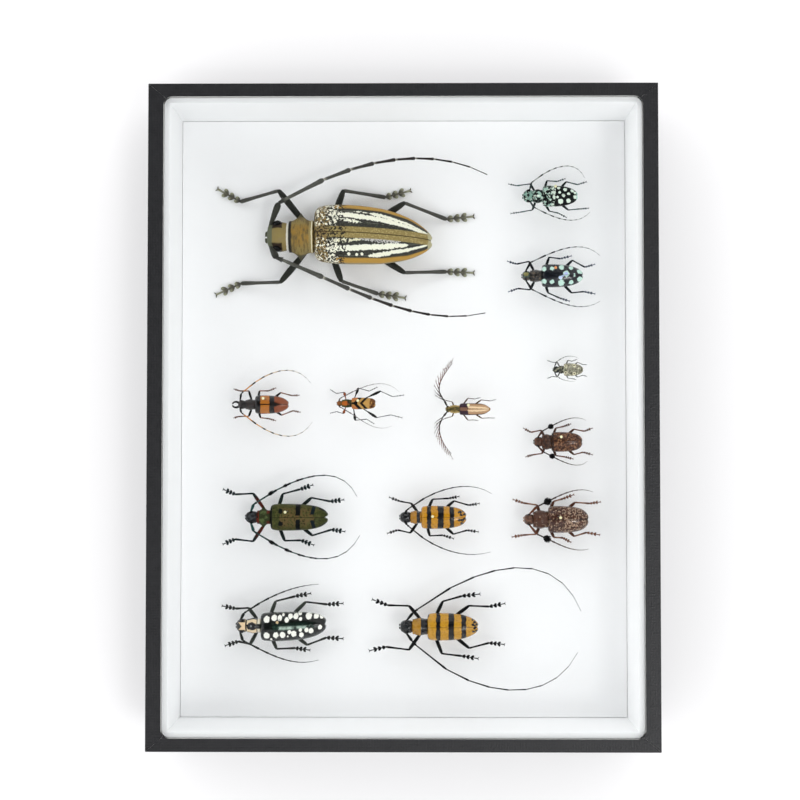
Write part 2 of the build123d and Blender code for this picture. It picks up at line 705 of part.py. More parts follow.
def specimen(beetle):
    """A whole set beetle as one dried body with its pin hole."""
    centre = beetle.centre
    pieces = [wing_cases(beetle, centre)]
    pieces += neck_shield(beetle, centre)
    pieces += head(beetle, centre)
    for hip_x, right, left in beetle.legs:
        pieces.append(leg(beetle, centre, hip_x, 1, right))
        pieces.append(leg(beetle, centre, hip_x, -1, left))
    for route in beetle.antennae:
        pieces += antenna_parts(beetle, centre, route)
    body = Part() + pieces
    return body - pin_hole(beetle, specimen_clearance)


def specimen_pin(beetle):
    """A headed pin driven through the back, or a plain one up into the belly."""
    x, y = pin_place(beetle)
    radius = pin_diameter / 2
    tip = board_top + pin_above_board
    profile = [(pin_point_share * radius, tip), (radius, tip + pin_point)]
    if beetle.hidden_pin:
        profile.append((radius, hidden_pin_top(beetle)))
    else:
        top = tip + pin_length
        knob = pin_head_diameter / 2
        profile.append((radius, top - pin_head_height))
        for share, depth in pin_head_profile:
            profile.append((share * knob, top - depth * pin_head_height))
    rings = []
    for across, z in profile:
        turns = [2 * pi * corner / pin_sides for corner in range(pin_sides)]
        rings.append([Vector(x + across * cos(turn), y + across * sin(turn), z) for turn in turns])
    return faceted_loft(rings)


def pinning_foam():
    """The white foam that the pins stand in."""
    half = (tray_half[0] - foam_clearance, tray_half[1] - foam_clearance)
    foam = block(half, board_top, foam_top)
    for beetle in beetles.values():
        x, y = pin_place(beetle)
        outline = RegularPolygon(pin_diameter / 2 + hole_clearance, pin_sides)
        foam -= Pos(x, y, 0) * extrude(outline, foam_top + 1)
    return foam


os.makedirs("parts", exist_ok=True)

write("bottom_board", bottom_board())
write("bottom_cover_sheet", bottom_cover_sheet())
write("pinning_foam", pinning_foam())
write("glass_pane", glass_pane())

for side in sides:
    write(f"base_wall_{side}", base_wall(side))
    write(f"base_cover_{side}", base_cover(side))
    write(f"neck_{side}", neck(side))
    write(f"lid_wall_{side}", lid_wall(side))
    write(f"lid_cover_{side}", lid_cover(side))

for name, beetle in beetles.items():
    write(f"beetle_{name}", specimen(beetle))
    write(f"pin_{name}", specimen_pin(beetle))
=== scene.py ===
# %% [markdown]
# # Dressing a box of set beetles
# The box, its lid and thirteen beetles already exist as plain solids at their real size.
# This lesson loads them and gives them their looks: paper, card, foam and glass for the box,
# and modelled, patterned bodies for the beetles. We work in metres, as the solids do.

# %% Load the solids
import random
from math import cos, pi, sin, sqrt

import bmesh
import bpy
from mathutils import Matrix, Vector

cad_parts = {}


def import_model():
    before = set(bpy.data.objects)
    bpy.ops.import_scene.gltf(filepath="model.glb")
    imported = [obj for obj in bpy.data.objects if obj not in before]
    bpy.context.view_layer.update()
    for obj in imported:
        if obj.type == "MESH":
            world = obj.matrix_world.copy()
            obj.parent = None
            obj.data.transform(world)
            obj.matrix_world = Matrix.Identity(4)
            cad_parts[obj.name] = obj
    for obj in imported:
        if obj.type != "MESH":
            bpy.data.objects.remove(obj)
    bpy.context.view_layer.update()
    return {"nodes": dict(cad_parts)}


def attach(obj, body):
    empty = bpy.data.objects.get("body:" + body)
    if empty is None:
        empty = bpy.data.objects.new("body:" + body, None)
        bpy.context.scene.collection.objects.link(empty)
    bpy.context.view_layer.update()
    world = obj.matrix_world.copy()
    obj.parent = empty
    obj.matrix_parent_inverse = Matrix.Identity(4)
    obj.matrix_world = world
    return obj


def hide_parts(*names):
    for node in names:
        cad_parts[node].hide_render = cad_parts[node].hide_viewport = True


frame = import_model()

# %% [markdown]
# Most steps below add pieces or shader nodes. A few small helpers keep them short. An operator acts
# on all that is selected, so the first one deselects everything. The others each add a shader node,
# whose sockets take either plain values or links from other nodes.

# %% Small helpers
mm = 0.001


def clear_selection():
    """Leave edit mode and deselect everything."""
    if bpy.context.object and bpy.context.object.mode == "EDIT":
        bpy.ops.object.mode_set(mode="OBJECT")
    bpy.ops.object.select_all(action="DESELECT")


def fill_sockets(tree, made, values):
    """Link the values that are sockets, and set the others."""
    for socket, value in values.items():
        if isinstance(value, bpy.types.NodeSocket):
            tree.links.new(value, made.inputs[socket])
        else:
            made.inputs[socket].default_value = value


def add_node(tree, kind, values=None, **settings):
    """Add a shader node, set it up and fill its sockets."""
    made = tree.nodes.new(f"ShaderNode{kind}")
    for setting, value in settings.items():
        setattr(made, setting, value)
    fill_sockets(tree, made, values or {})
    return made


def maths(tree, operation, first, second=0.0):
    """One Math node, returned as its output socket."""
    return add_node(tree, "Math", {0: first, 1: second}, operation=operation).outputs[0]


def mix_colour(tree, share, below, above, blend="MIX"):
    """Lay one colour over another by a mask."""
    values = {0: share, 6: below, 7: above}
    return add_node(tree, "Mix", values, data_type="RGBA", blend_type=blend).outputs[2]


def smooth_step(tree, value, start, end):
    """0 before start, 1 after end, and a soft turn between them."""
    values = {"Value": value, "From Min": start, "From Max": end}
    return add_node(tree, "MapRange", values, interpolation_type="SMOOTHSTEP").outputs[0]


def noise_of(tree, place, scale, detail=2.0):
    """A noise value between 0 and 1."""
    return add_node(tree, "TexNoise", {"Vector": place, "Scale": scale, "Detail": detail}).outputs["Fac"]


clear_selection()
print("helpers ready")

# %% [markdown]
# A finish that several materials share is worth a node group. It is wired once, and each material
# then sets its own values on the group's named sockets. One function makes an empty group with the
# sockets that we name, and another one places it in a material.

# %% Functions for shared node groups
def new_group(name, inputs, outputs):
    """An empty group. Each socket has a name and a default: a number, or a vector of three."""
    tree = bpy.data.node_groups.new(name, "ShaderNodeTree")
    for way, sockets in (("INPUT", inputs), ("OUTPUT", outputs)):
        for socket_name, value in sockets.items():
            kind = "NodeSocketVector" if isinstance(value, tuple) else "NodeSocketFloat"
            socket = tree.interface.new_socket(name=socket_name, in_out=way, socket_type=kind)
            if way == "INPUT":
                socket.default_value = value
    return tree, tree.nodes.new("NodeGroupInput").outputs, tree.nodes.new("NodeGroupOutput").inputs


def place_group(tree, group, values):
    """Place a shared group in a tree and return its outputs."""
    return add_node(tree, "Group", values, node_tree=group).outputs


def new_material(name):
    """A material with one Principled shader, returned with its tree and that shader."""
    material = bpy.data.materials.new(name)
    material.use_nodes = True
    tree = material.node_tree
    return material, tree, tree.nodes["Principled BSDF"]


def dress(material, *names):
    """Give a material to the CAD nodes of these names."""
    for name in names:
        for slot in frame["nodes"][name].material_slots:
            slot.material = material


print("group functions ready")

# %% [markdown]
# The box is covered in thin black paper with a fine linen grain. Such a grain is two sets of fine
# ridges that cross at right angles, a little uneven. Two wave textures make the ridges, and noise
# breaks them up. The same group serves the neck card and the foam with other values.

# %% The grain group
grain, given, wanted = new_group(
    "Fine grain",
    {"Place": (0.0, 0.0, 0.0), "Ridges per mm": 2.0, "Unevenness": 0.5},
    {"Height": 0.0, "Tone": 0.0},
)
ridge_scale = maths(grain, "MULTIPLY", given["Ridges per mm"], 1000 * pi / 10)
ridges = []
for direction in ("X", "Y"):
    values = {"Vector": given["Place"], "Scale": ridge_scale, "Distortion": 1.5, "Detail": 1.0}
    ridges.append(add_node(grain, "TexWave", values, bands_direction=direction).outputs["Fac"])
woven = maths(grain, "MULTIPLY", *ridges)
fibre_scale = maths(grain, "MULTIPLY", given["Ridges per mm"], 700)
fibre = noise_of(grain, given["Place"], fibre_scale, 3.0)
loose = maths(grain, "MULTIPLY", fibre, given["Unevenness"])
grain.links.new(maths(grain, "ADD", woven, loose), wanted["Height"])
cloud = noise_of(grain, given["Place"], 300.0, 6.0)
halves = [maths(grain, "MULTIPLY", part, 0.5) for part in (woven, cloud)]
grain.links.new(maths(grain, "ADD", *halves), wanted["Tone"])
print("grain group with", len(grain.nodes), "nodes")

# %% [markdown]
# With the group in hand, a paper, card or foam is one function call: two colours that the tone
# mixes, a roughness that varies a little, and the grain as a bump.

# %% Paper, card, board and foam
def object_place(tree):
    """Where a point lies on the piece."""
    return add_node(tree, "TexCoord").outputs["Object"]


def spread(tree, value, low, high):
    """Turn a value from 0 to 1 into one from low to high."""
    return add_node(tree, "MapRange", {"Value": value, "To Min": low, "To Max": high}).outputs[0]


def bump(tree, height, strength, distance):
    """The normal of a surface with small bumps. Distance is in millimetres."""
    values = {"Height": height, "Strength": strength, "Distance": distance * mm}
    return add_node(tree, "Bump", values).outputs["Normal"]


def sheet_material(name, dark, light, ridges_per_mm, unevenness, roughness, strength, shine=0.5):
    """A fine-grained sheet. Roughness is a pair, from the smooth places to the rough ones."""
    material, tree, shader = new_material(name)
    outputs = place_group(tree, grain, {
        "Place": object_place(tree), "Ridges per mm": ridges_per_mm, "Unevenness": unevenness})
    fill_sockets(tree, shader, {
        "Base Color": mix_colour(tree, outputs["Tone"], (*dark, 1), (*light, 1)),
        "Roughness": spread(tree, outputs["Tone"], *roughness),
        "Normal": bump(tree, outputs["Height"], strength, 0.05),
        "Specular IOR Level": shine,
    })
    return material


black_paper = sheet_material(
    "black_linen_paper", (0.001, 0.0015, 0.0025), (0.013, 0.0135, 0.016), 1.4, 3.0, (0.28, 0.52), 1.0, 0.65)
neck_card = sheet_material(
    "white_card", (0.90, 0.905, 0.91), (0.955, 0.96, 0.96), 1.2, 1.5, (0.55, 0.7), 0.15)
grey_board = sheet_material(
    "grey_board", (0.36, 0.32, 0.27), (0.55, 0.50, 0.43), 0.8, 2.0, (0.8, 0.95), 0.5)
white_foam = sheet_material(
    "white_foam", (0.90, 0.90, 0.905), (0.95, 0.95, 0.955), 1.0, 3.0, (0.7, 0.9), 0.25)

sides = ("left", "right", "front", "back")
for sheet, single, sided in (
        (black_paper, ["bottom_cover_sheet"], ["base_cover", "lid_cover"]), (neck_card, [], ["neck"]),
        (grey_board, ["bottom_board"], ["base_wall"]), (white_foam, ["pinning_foam"], [])):
    names = single + [f"{piece}_{side}" for piece in sided for side in sides]
    dress(sheet, *names)
    print(sheet.name, "on", len(names), "nodes")

# %% [markdown]
# A mask by height lays a thin pale grey line along the seam where the lid sits down on the base: a
# painted highlight that picks out the seam, broken up by noise. A second mask, from the way a face
# points, keeps it on the upright faces.

# %% A painted highlight along the seam of lid and base
def parts_of(tree, vector):
    """The three numbers of a vector."""
    return add_node(tree, "SeparateXYZ", {0: vector}).outputs


seam_height, line_edge, line_core = 36.0 * mm, 0.6 * mm, 0.1 * mm
seam_highlight_grey = (0.085, 0.085, 0.09, 1)
tree = black_paper.node_tree
shader = tree.nodes["Principled BSDF"]
coordinates = add_node(tree, "TexCoord").outputs
place = coordinates["Object"]
facing = parts_of(tree, coordinates["Normal"])["Z"]
upright = smooth_step(tree, maths(tree, "ABSOLUTE", facing), 0.9, 0.5)
from_seam = maths(tree, "ABSOLUTE", maths(tree, "SUBTRACT", parts_of(tree, place)["Z"], seam_height))
line = smooth_step(tree, from_seam, line_edge, line_core)
highlight_breakup = smooth_step(tree, noise_of(tree, place, 150.0, 3.0), 0.2, 0.6)
# The pale seam line is a painted highlight laid over the black paper.
seam_highlight = maths(tree, "MULTIPLY", maths(tree, "MULTIPLY", line, highlight_breakup), upright)
plain = shader.inputs["Base Color"].links[0].from_socket
fill_sockets(tree, shader, {"Base Color": mix_colour(tree, seam_highlight, plain, seam_highlight_grey)})
print("paper rubbed along", seam_height, "m")

# %% [markdown]
# The laths of the lid are softwood, painted white like the inside of the box, so that the grain
# only just shows. They are seen as a thin line inside the window, and from below.
# Wood grain is a noise that is stretched along the lath, so the left and right laths need it
# turned by a quarter against the front and back ones. A Mapping node does the stretching.

# %% Painted softwood for the laths
def stretched(tree, place, scale):
    """A place with its three directions scaled apart."""
    return add_node(tree, "Mapping", {"Vector": place, "Scale": scale}).outputs[0]


fine, long = 900.0, 40.0
for along, scale, names in (
        ("X", (long, fine, fine), ("front", "back")), ("Y", (fine, long, fine), ("left", "right"))):
    softwood, tree, shader = new_material(f"softwood_along_{along}")
    streaks = noise_of(tree, stretched(tree, object_place(tree), scale), 1.0, 5.0)
    fill_sockets(tree, shader, {
        "Base Color": mix_colour(tree, streaks, (0.78, 0.77, 0.745, 1), (0.88, 0.875, 0.86, 1)),
        "Roughness": 0.62,
        "Normal": bump(tree, streaks, 0.3, 0.1),
    })
    dress(softwood, *[f"lid_wall_{side}" for side in names])
print("softwood on 4 laths")

# %% [markdown]
# The window is clear glass. A ray tracer treats solid glass as a lens and keeps lamplight out of the
# box behind it, so the shader lets shadow and diffuse rays straight through, and keeps its gloss and
# its thickness for all the others.

# %% Window glass
window_glass, tree, shader = new_material("window_glass")
fill_sockets(tree, shader, {
    "Base Color": (0.995, 0.998, 1.0, 1), "Roughness": 0.0, "IOR": 1.5, "Transmission Weight": 1.0})
rays = add_node(tree, "LightPath").outputs
unbent = maths(tree, "MAXIMUM", rays["Is Shadow Ray"], rays["Is Diffuse Ray"])
clear = add_node(tree, "BsdfTransparent", {"Color": (0.97, 0.98, 0.975, 1)})
window = add_node(tree, "MixShader", {0: unbent, 1: shader.outputs[0], 2: clear.outputs[0]})
tree.links.new(window.outputs[0], tree.nodes["Material Output"].inputs["Surface"])
dress(window_glass, "glass_pane")
print("glass on the window")

# %% [markdown]
# Now the beetles. Each is described by a few sizes in millimetres, counted from the middle of its
# body with the head towards minus X. A small class keeps them. It has a usual value for what only
# some beetles have, such as a notched tail, and works out the levels and places that follow.

# %% What a beetle is made of
back_level, share_above, share_below = 28.5, 0.55, 0.45


class Beetle:
    """The sizes of one set beetle, and the levels that follow from them."""

    tail_drift = spine = rami = jaws = notch = lift = 0.0
    tufts, club, hidden_pin, pads, flat = (), False, False, 0.8, 0.72

    def __init__(self, name, middle, **sizes):
        self.name = name
        self.x, self.y = middle
        for key, value in sizes.items():
            setattr(self, key, value)
        depth = self.width * self.flat
        self.rise, self.drop = share_above * depth, share_below * depth
        self.level = back_level + self.lift - self.rise
        self.front = -self.length / 2
        self.neck = self.front + self.head[0]
        self.base = self.neck + self.shield[0]
        self.tail = self.length / 2


print("beetle class ready, with backs", back_level, "mm above the table")

# %% [markdown]
# The list has one entry for each beetle, as long and wide as in the photograph. Legs give the hip,
# then knee, ankle and claw for the right and the left side. Antennae give five points from the head
# to the tip. The outline of the wing cases gives the share of their length, then the share of the
# full half width, and five outlines serve for all.

# %% The thirteen beetles
tapered = ((0, 0.80), (0.07, 0.97), (0.30, 1), (0.58, 0.94), (0.80, 0.72), (0.94, 0.40), (1, 0.14))
oval = ((0, 0.86), (0.06, 1), (0.40, 1), (0.68, 0.89), (0.84, 0.70), (0.95, 0.46), (1, 0.22))
straight = ((0, 0.84), (0.06, 0.99), (0.35, 1), (0.68, 0.93), (0.86, 0.76), (0.96, 0.50), (1, 0.26))
blunt = ((0, 0.86), (0.06, 1), (0.40, 1), (0.75, 0.93), (0.90, 0.83), (0.97, 0.60), (1, 0.36))
pointed = ((0, 0.86), (0.06, 1), (0.40, 1), (0.70, 0.95), (0.83, 0.78), (0.93, 0.44), (1, 0.16))

beetles = [
    Beetle(
        "striped", (-25.1, 84.6), length=78, head=(10, 14.5), shield=(12, 17.5), width=28,
        outline=tapered, pads=1.0, femur=1.6, feeler=1, pin=(1.5, 2.5), tail_drift=-3.6,
        spine=2.2, hidden_pin=True, flat=0.66, lift=4,
        legs=(
            (-19, ((-34, 22.5), (-52.5, 18), (-64, 24.5)), ((-33, -21.5), (-52, -21), (-64.5, -26.5))),
            (-10, ((-3, 22.5), (16.5, 20), (29, 23.5)), ((-4, -21), (13, -26), (26.5, -28))),
            (6, ((26, 16.5), (45.5, 9.5), (59, 11)), ((26, -17), (45.5, -15.5), (59, -16))),
        ),
        antennae=(
            ((-37.5, 4.5), (-33, 15), (-2.5, 30), (31.5, 36.5), (64.5, 29)),
            ((-37.5, -4), (-34, -10.5), (-2.5, -24), (30, -35.5), (63.5, -36)),
        )),
    Beetle(
        "mint", (68.9, 103.3), length=25.5, head=(4.5, 6), shield=(4.5, 6.6), width=9.8,
        outline=oval, pads=0.6, femur=0.55, feeler=0.3, pin=(1, 2),
        legs=(
            (-6.5, ((-9.5, 6), (-15.5, 5.5), (-19.5, 6.5)), ((-8.5, -6.5), (-14, -7), (-18.5, -7.5))),
            (-3.5, ((-1.5, 7.5), (3.5, 7.5), (7.5, 9)), ((-0.5, -7), (4, -7.5), (8, -9.5))),
            (2.5, ((7.5, 7), (13, 6), (17.5, 7.5)), ((8.5, -6.5), (14, -5.5), (18.5, -5))),
        ),
        antennae=(
            ((-10, 2), (-9, 6), (-1, 11.5), (8.5, 14), (16, 8.5)),
            ((-10, -2), (-8, -5.5), (0.5, -9.5), (10, -11.5), (18.5, -7.5)),
        )),
    Beetle(
        "blue_spotted", (69.8, 65.9), length=28.5, head=(3.5, 4.8), shield=(5.5, 6), width=10.8,
        outline=oval, pads=0.7, femur=0.65, feeler=0.35, pin=(0, 2),
        legs=(
            (-8, ((-11, 7), (-16.5, 6), (-21, 7.5)), ((-10.5, -6.5), (-16, -5.5), (-20.5, -7))),
            (-4, ((-1.5, 9), (4, 8.5), (9.5, 10)), ((-2, -8), (3.5, -10), (8.5, -11.5))),
            (3, ((9.5, 7.5), (15.5, 4.5), (20.5, 6)), ((9, -8), (15, -7), (20.5, -8))),
        ),
        antennae=(
            ((-13, 1.5), (-10.5, 6), (0.5, 11), (12, 13.5), (22, 9.5)),
            ((-13, -1.5), (-10, -6.5), (0.5, -11.5), (11.5, -14.5), (22, -12)),
        )),
    Beetle(
        "speckled", (76.7, 21.9), length=14, head=(2.6, 3), shield=(2.4, 3.8), width=5.9,
        outline=oval, pads=0.6, femur=0.32, feeler=0.2, pin=(0, 0.8), hidden_pin=True,
        legs=(
            (-3.5, ((-5, 3.5), (-7, 3.5), (-9.5, 4.5)), ((-5, -3.5), (-7, -3), (-9.5, -4))),
            (-1.5, ((0, 4.5), (2, 4), (4.5, 5)), ((0, -4), (2, -4), (4, -4.5))),
            (1.5, ((4.5, 3.5), (7, 2.5), (9, 2.5)), ((4.5, -3.5), (7, -2.5), (9, -3))),
        ),
        antennae=(
            ((-6.5, 1), (-5.5, 3.5), (-2.5, 5.5), (1, 6.3), (5, 5.2)),
            ((-6.5, -1), (-5.5, -3), (-3, -4.5), (0, -5.3), (3, -5.5)),
        )),
    Beetle(
        "red_tufted", (72.1, -11.7), length=22.5, head=(3.6, 4.8), shield=(4.4, 7.4), width=9.2,
        outline=straight, femur=0.6, feeler=0.32, pin=(0, 2.2), tufts=((0.19, 2.7),),
        legs=(
            (-5.5, ((-8, 5.5), (-12.5, 4.5), (-16, 6.5)), ((-7.5, -5.5), (-11.5, -6), (-15, -7))),
            (-3, ((-1, 6.5), (3, 7.3), (6.5, 8.5)), ((-1, -6.5), (3.5, -7), (7.5, -8))),
            (2, ((7.5, 6), (12.5, 5), (16.5, 6.5)), ((7.5, -6), (12, -4.8), (16.5, -6))),
        ),
        antennae=(
            ((-10, 1.5), (-7.5, 5), (-1, 8.5), (6, 11), (13, 10)),
            ((-10, -1.5), (-7, -4.7), (-0.5, -8), (7, -10.7), (13.5, -9)),
        )),
    Beetle(
        "brown_tufted", (71.2, -47.8), length=30, head=(4, 5.4), shield=(7, 8.8), width=12.5,
        outline=straight, femur=0.75, feeler=0.4, pin=(0.5, 1.5), tufts=((0.19, 3.7),),
        legs=(
            (-7, ((-9, 6.8), (-15, 7.5), (-20, 9.2)), ((-9.3, -7), (-15.2, -7.5), (-20.5, -8.5))),
            (-4, ((-1, 8.5), (3.5, 9.5), (9, 11.5)), ((-1, -8.5), (3.5, -8.8), (7.5, -11))),
            (2, ((9, 8), (16, 7.3), (21.5, 8)), ((8.5, -8), (14.5, -6.3), (21, -7.5))),
        ),
        antennae=(
            ((-13, 2), (-9.3, 6), (-1, 10), (8, 13.4), (17, 12.8)),
            ((-13, -2), (-9.2, -6.7), (-1.3, -10.4), (6.8, -13.6), (15, -13.7)),
        )),
    Beetle(
        "orange_black", (-65.2, 5.7), length=23.8, head=(3.3, 4.2), shield=(4.6, 5.2), width=8.7,
        outline=oval, pads=0.7, femur=0.55, feeler=0.32, pin=(1.2, 2.4), jaws=2.8,
        legs=(
            (-5.5, ((-7, 6.5), (-11.5, 6.5), (-14.5, 7.5)), ((-7, -5.5), (-12, -5.5), (-14.5, -6.2))),
            (-3, ((-2, 6.5), (2, 6.5), (5.5, 8)), ((-1.5, -6.2), (2.2, -6.5), (5.5, -7.5))),
            (2.5, ((8, 5.7), (13, 4.3), (16.5, 4.5)), ((8.5, -5), (13.5, -2.8), (17, -3.5))),
        ),
        antennae=(
            ((-11, 1.5), (-10.3, 5), (-0.3, 12.6), (11.5, 16), (22, 10)),
            ((-11, -1.5), (-10.3, -3.6), (0.1, -11.2), (12.3, -14.8), (22.8, -8)),
        )),
    Beetle(
        "golden", (-21.9, 6.2), length=18, head=(2.2, 2.6), shield=(4.6, 4), width=5.4,
        outline=blunt, club=True, pads=0.4, femur=0.5, feeler=0.22, pin=(1.2, 0.9),
        legs=(
            (-4.5, ((-5.7, 5.3), (-9.4, 4.7), (-12.3, 6.6)), ((-6.1, -4.8), (-9.2, -3.8), (-12.4, -4.5))),
            (-1.5, ((1, 7.3), (6, 5.8), (9.8, 7.7)), ((-0.5, -8), (4.8, -7.3), (8.3, -9.5))),
            (0.5, ((11.5, 5.8), (16.9, 3.2), (22.3, 4)), ((9.7, -6.7), (16.1, -5.3), (21.5, -6.7))),
        ),
        antennae=(
            ((-8.3, 0.7), (-7.5, 2.3), (1.4, 6.8), (11.2, 9.2), (20, 5.3)),
            ((-8.3, -0.7), (-7.5, -1.8), (0, -6.3), (8, -10.8), (16.6, -10.5)),
        )),
    Beetle(
        "feather_horned", (30.2, 3.5), length=20.8, head=(1.9, 3), shield=(4.4, 4), width=5.5,
        outline=pointed, pads=0.5, femur=0.35, feeler=0.3, pin=(-0.4, 1.5), rami=5,
        legs=(
            (-6.5, ((-7.4, 3.4), (-10.6, 4.2), (-14.3, 7)), ((-7.4, -3.4), (-10.9, -4.3), (-14.8, -6.8))),
            (-3.5, ((0, 5.2), (3, 4.8), (5.8, 5.5)), ((0, -5.2), (2.5, -5), (4.8, -5.2))),
            (1, ((6.2, 4.4), (10.4, 3.9), (13, 4.6)), ((6.5, -4.3), (9.9, -4), (12.5, -4.1))),
        ),
        antennae=(
            ((-9.6, 1), (-11, 3.7), (-13.6, 9.9), (-11.2, 16), (-7.2, 21.5)),
            ((-9.6, -1), (-11.4, -3.2), (-13.5, -9.1), (-11.7, -15.4), (-7.7, -20.7)),
        )),
    Beetle(
        "olive", (-54.3, -46.8), length=38.5, head=(5.2, 5.8), shield=(6.3, 7.4), width=12.5,
        outline=straight, pads=1.1, femur=0.85, feeler=0.45, pin=(0.5, 3), spine=1.2, notch=1.6,
        tufts=((0.17, 2.2), (0.31, 1.8), (0.42, 1.3), (0.52, 1)),
        legs=(
            (-9.5, ((-16, 11.2), (-24.6, 10.5), (-30.6, 12.9)), ((-16, -11.5), (-24.7, -10.5), (-30.7, -13))),
            (-5, ((-2, 11), (5.8, 12.9), (12, 15)), ((-1, -11.2), (6.3, -11), (12.5, -13.4))),
            (3, ((11.5, 9.2), (20.1, 7.2), (26.6, 8)), ((12, -8.7), (20.6, -6), (27.1, -7))),
        ),
        antennae=(
            ((-17, 2), (-15.3, 6), (1, 15.5), (19.2, 19.5), (32.7, 9.6)),
            ((-17, -2), (-15.2, -6.4), (1.4, -15.7), (19.8, -19.1), (34, -8.4)),
        )),
    Beetle(
        "gold_banded", (13.9, -46.8), length=31, head=(4.8, 5.4), shield=(5, 6.4), width=10.8,
        outline=straight, femur=0.7, feeler=0.36, pin=(-0.5, 1),
        legs=(
            (-6.5, ((-10.4, 6.6), (-15.4, 7.3), (-20.7, 9.2)), ((-10.7, -7.4), (-16.6, -6.1), (-21.6, -7.8))),
            (-3.5, ((-0.2, 8.5), (7.4, 8.7), (12.4, 9.6)), ((-1.6, -8.8), (4.5, -8.5), (9.8, -10.2))),
            (2.5, ((9.9, 7.7), (16.7, 5.5), (21.9, 6.3)), ((9.5, -8), (15.9, -6.2), (21.4, -7))),
        ),
        antennae=(
            ((-13.6, 1.2), (-12.3, 3.4), (-0.3, 10.8), (13.8, 14.4), (27.2, 11)),
            ((-13.6, -1.2), (-12.3, -3.2), (-1.2, -11.7), (12.4, -16.7), (26.8, -16)),
        )),
    Beetle(
        "white_spotted", (-56.7, -97.2), length=42, head=(4.8, 6.6), shield=(6.4, 7.4), width=13.6,
        outline=straight, pads=1.0, femur=0.9, feeler=0.45, pin=(-0.6, 3.3), tail_drift=1.5,
        legs=(
            (-11, ((-15.6, 8.2), (-22, 7.4), (-28.7, 8.6)), ((-14.8, -8.9), (-20.7, -7.9), (-27.2, -10.1))),
            (-6.5, ((-2.8, 11.4), (6, 13.2), (13.5, 14.5)), ((-2.3, -11.1), (6, -11), (13.1, -12.1))),
            (2, ((11.4, 11.1), (21, 9.4), (28.7, 9.8)), ((12.1, -9.2), (20.6, -6.1), (28.7, -6.7))),
        ),
        antennae=(
            ((-19.5, 1.8), (-17.3, 6), (-6.6, 12.5), (5, 17.2), (17.3, 19.3)),
            ((-19.5, -2.2), (-17.8, -6.5), (-6.6, -12.3), (5.2, -16.4), (17.3, -15.8)),
        )),
    Beetle(
        "banded", (16.7, -97.6), length=36.5, head=(5.6, 6.4), shield=(7, 8.4), width=12.8,
        outline=oval, pads=1.0, femur=0.85, feeler=0.42, pin=(1, 1.5), hidden_pin=True,
        legs=(
            (-7.5, ((-14.2, 9.7), (-24.1, 9.5), (-31.6, 12.2)), ((-14.2, -11), (-24.8, -9.9), (-33, -11.9))),
            (-3, ((1.7, 11.8), (10.6, 13.8), (19.5, 14.7)), ((1.3, -12.8), (10.5, -14.1), (18.6, -15.5))),
            (3.5, ((14.1, 9.8), (23.4, 8.9), (31.2, 10.3)), ((14.1, -10.2), (23.4, -8), (30.9, -8.9))),
        ),
        antennae=(
            ((-15.8, 2.2), (-12.3, 6.6), (13.9, 22.3), (43.8, 26.9), (65.8, 7.3)),
            ((-15.8, -2.2), (-12.7, -6.2), (12, -23.9), (41.5, -28.6), (64.2, -11.7)),
        )),
]
print(len(beetles), "beetles described")

# %% [markdown]
# A body part is a closed form with a round section that changes along its length. By hand we
# would lay a cylinder along X, cut it into rings with bisect, and then size each ring with the
# scale operator. The upper half of a ring is scaled apart from the lower half, because a beetle's
# back is domed and its belly is flat. A Subdivision Surface modifier then rounds it all. That draws
# the form in by some three parts in a hundred, so the rings are made that much larger.

# %% Shaping in edit mode
near, rounding, belly_width = 0.001 * mm, 1.035, 0.95


def pick(test):
    """Select the vertices of the open mesh that pass a test, and nothing else."""
    mesh = bpy.context.object.data
    edit = bmesh.from_edit_mesh(mesh)
    for part in (edit.faces, edit.edges, edit.verts):
        for element in part:
            element.select = False
    for vertex in edit.verts:
        if test(vertex.co):
            vertex.select = True
    edit.select_flush_mode()
    bmesh.update_edit_mesh(mesh, loop_triangles=False, destructive=False)


def cut(place, normal):
    """Cut all of the open mesh along a plane."""
    bpy.ops.mesh.select_all(action="SELECT")
    bpy.ops.mesh.bisect(plane_co=place, plane_no=normal)


def apply_modifier(kind, **settings):
    """Add a modifier to the active piece, set it up and apply it."""
    bpy.ops.object.modifier_add(type=kind)
    modifier = bpy.context.object.modifiers[-1]
    for setting, value in settings.items():
        setattr(modifier, setting, value)
    bpy.ops.object.modifier_apply(modifier=modifier.name)


def note_on(piece, name, values):
    """Write three numbers on each vertex of a piece, as an attribute that materials can read."""
    piece.data.attributes.new(name, "FLOAT_VECTOR", "POINT").data.foreach_set("vector", values)


def ringed_hull(name, rings, corners=16):
    """A closed form along X from rings of x, half width, rise and drop in millimetres."""
    clear_selection()
    start, end = rings[0][0], rings[-1][0]
    bpy.ops.mesh.primitive_cylinder_add(
        vertices=corners, radius=mm, depth=(end - start) * mm,
        location=((start + end) / 2 * mm, 0, 0), rotation=(0, pi / 2, 0))
    bpy.context.object.name = name
    bpy.ops.object.transform_apply()
    bpy.ops.object.mode_set(mode="EDIT")
    for ring in rings[1:-1]:
        cut((ring[0] * mm, 0, 0), (1, 0, 0))
    for x, *sizes in rings:
        pivot = (x * mm, 0, 0)
        half, rise, drop = [size * rounding for size in sizes]
        pick(lambda co: abs(co.x - x * mm) < near and co.z > -near)
        bpy.ops.transform.resize(value=(1, half, rise), center_override=pivot)
        pick(lambda co: abs(co.x - x * mm) < near and co.z < -near)
        bpy.ops.transform.resize(value=(1, belly_width * half, drop), center_override=pivot)
    return bpy.context.object


def width_at(rings, x):
    """The half width of a ringed form at x, read between its rings."""
    for here, ahead in zip(rings, rings[1:]):
        if x <= ahead[0]:
            share = max(0.0, (x - here[0]) / (ahead[0] - here[0]))
            return here[1] + share * (ahead[1] - here[1])
    return rings[-1][1]


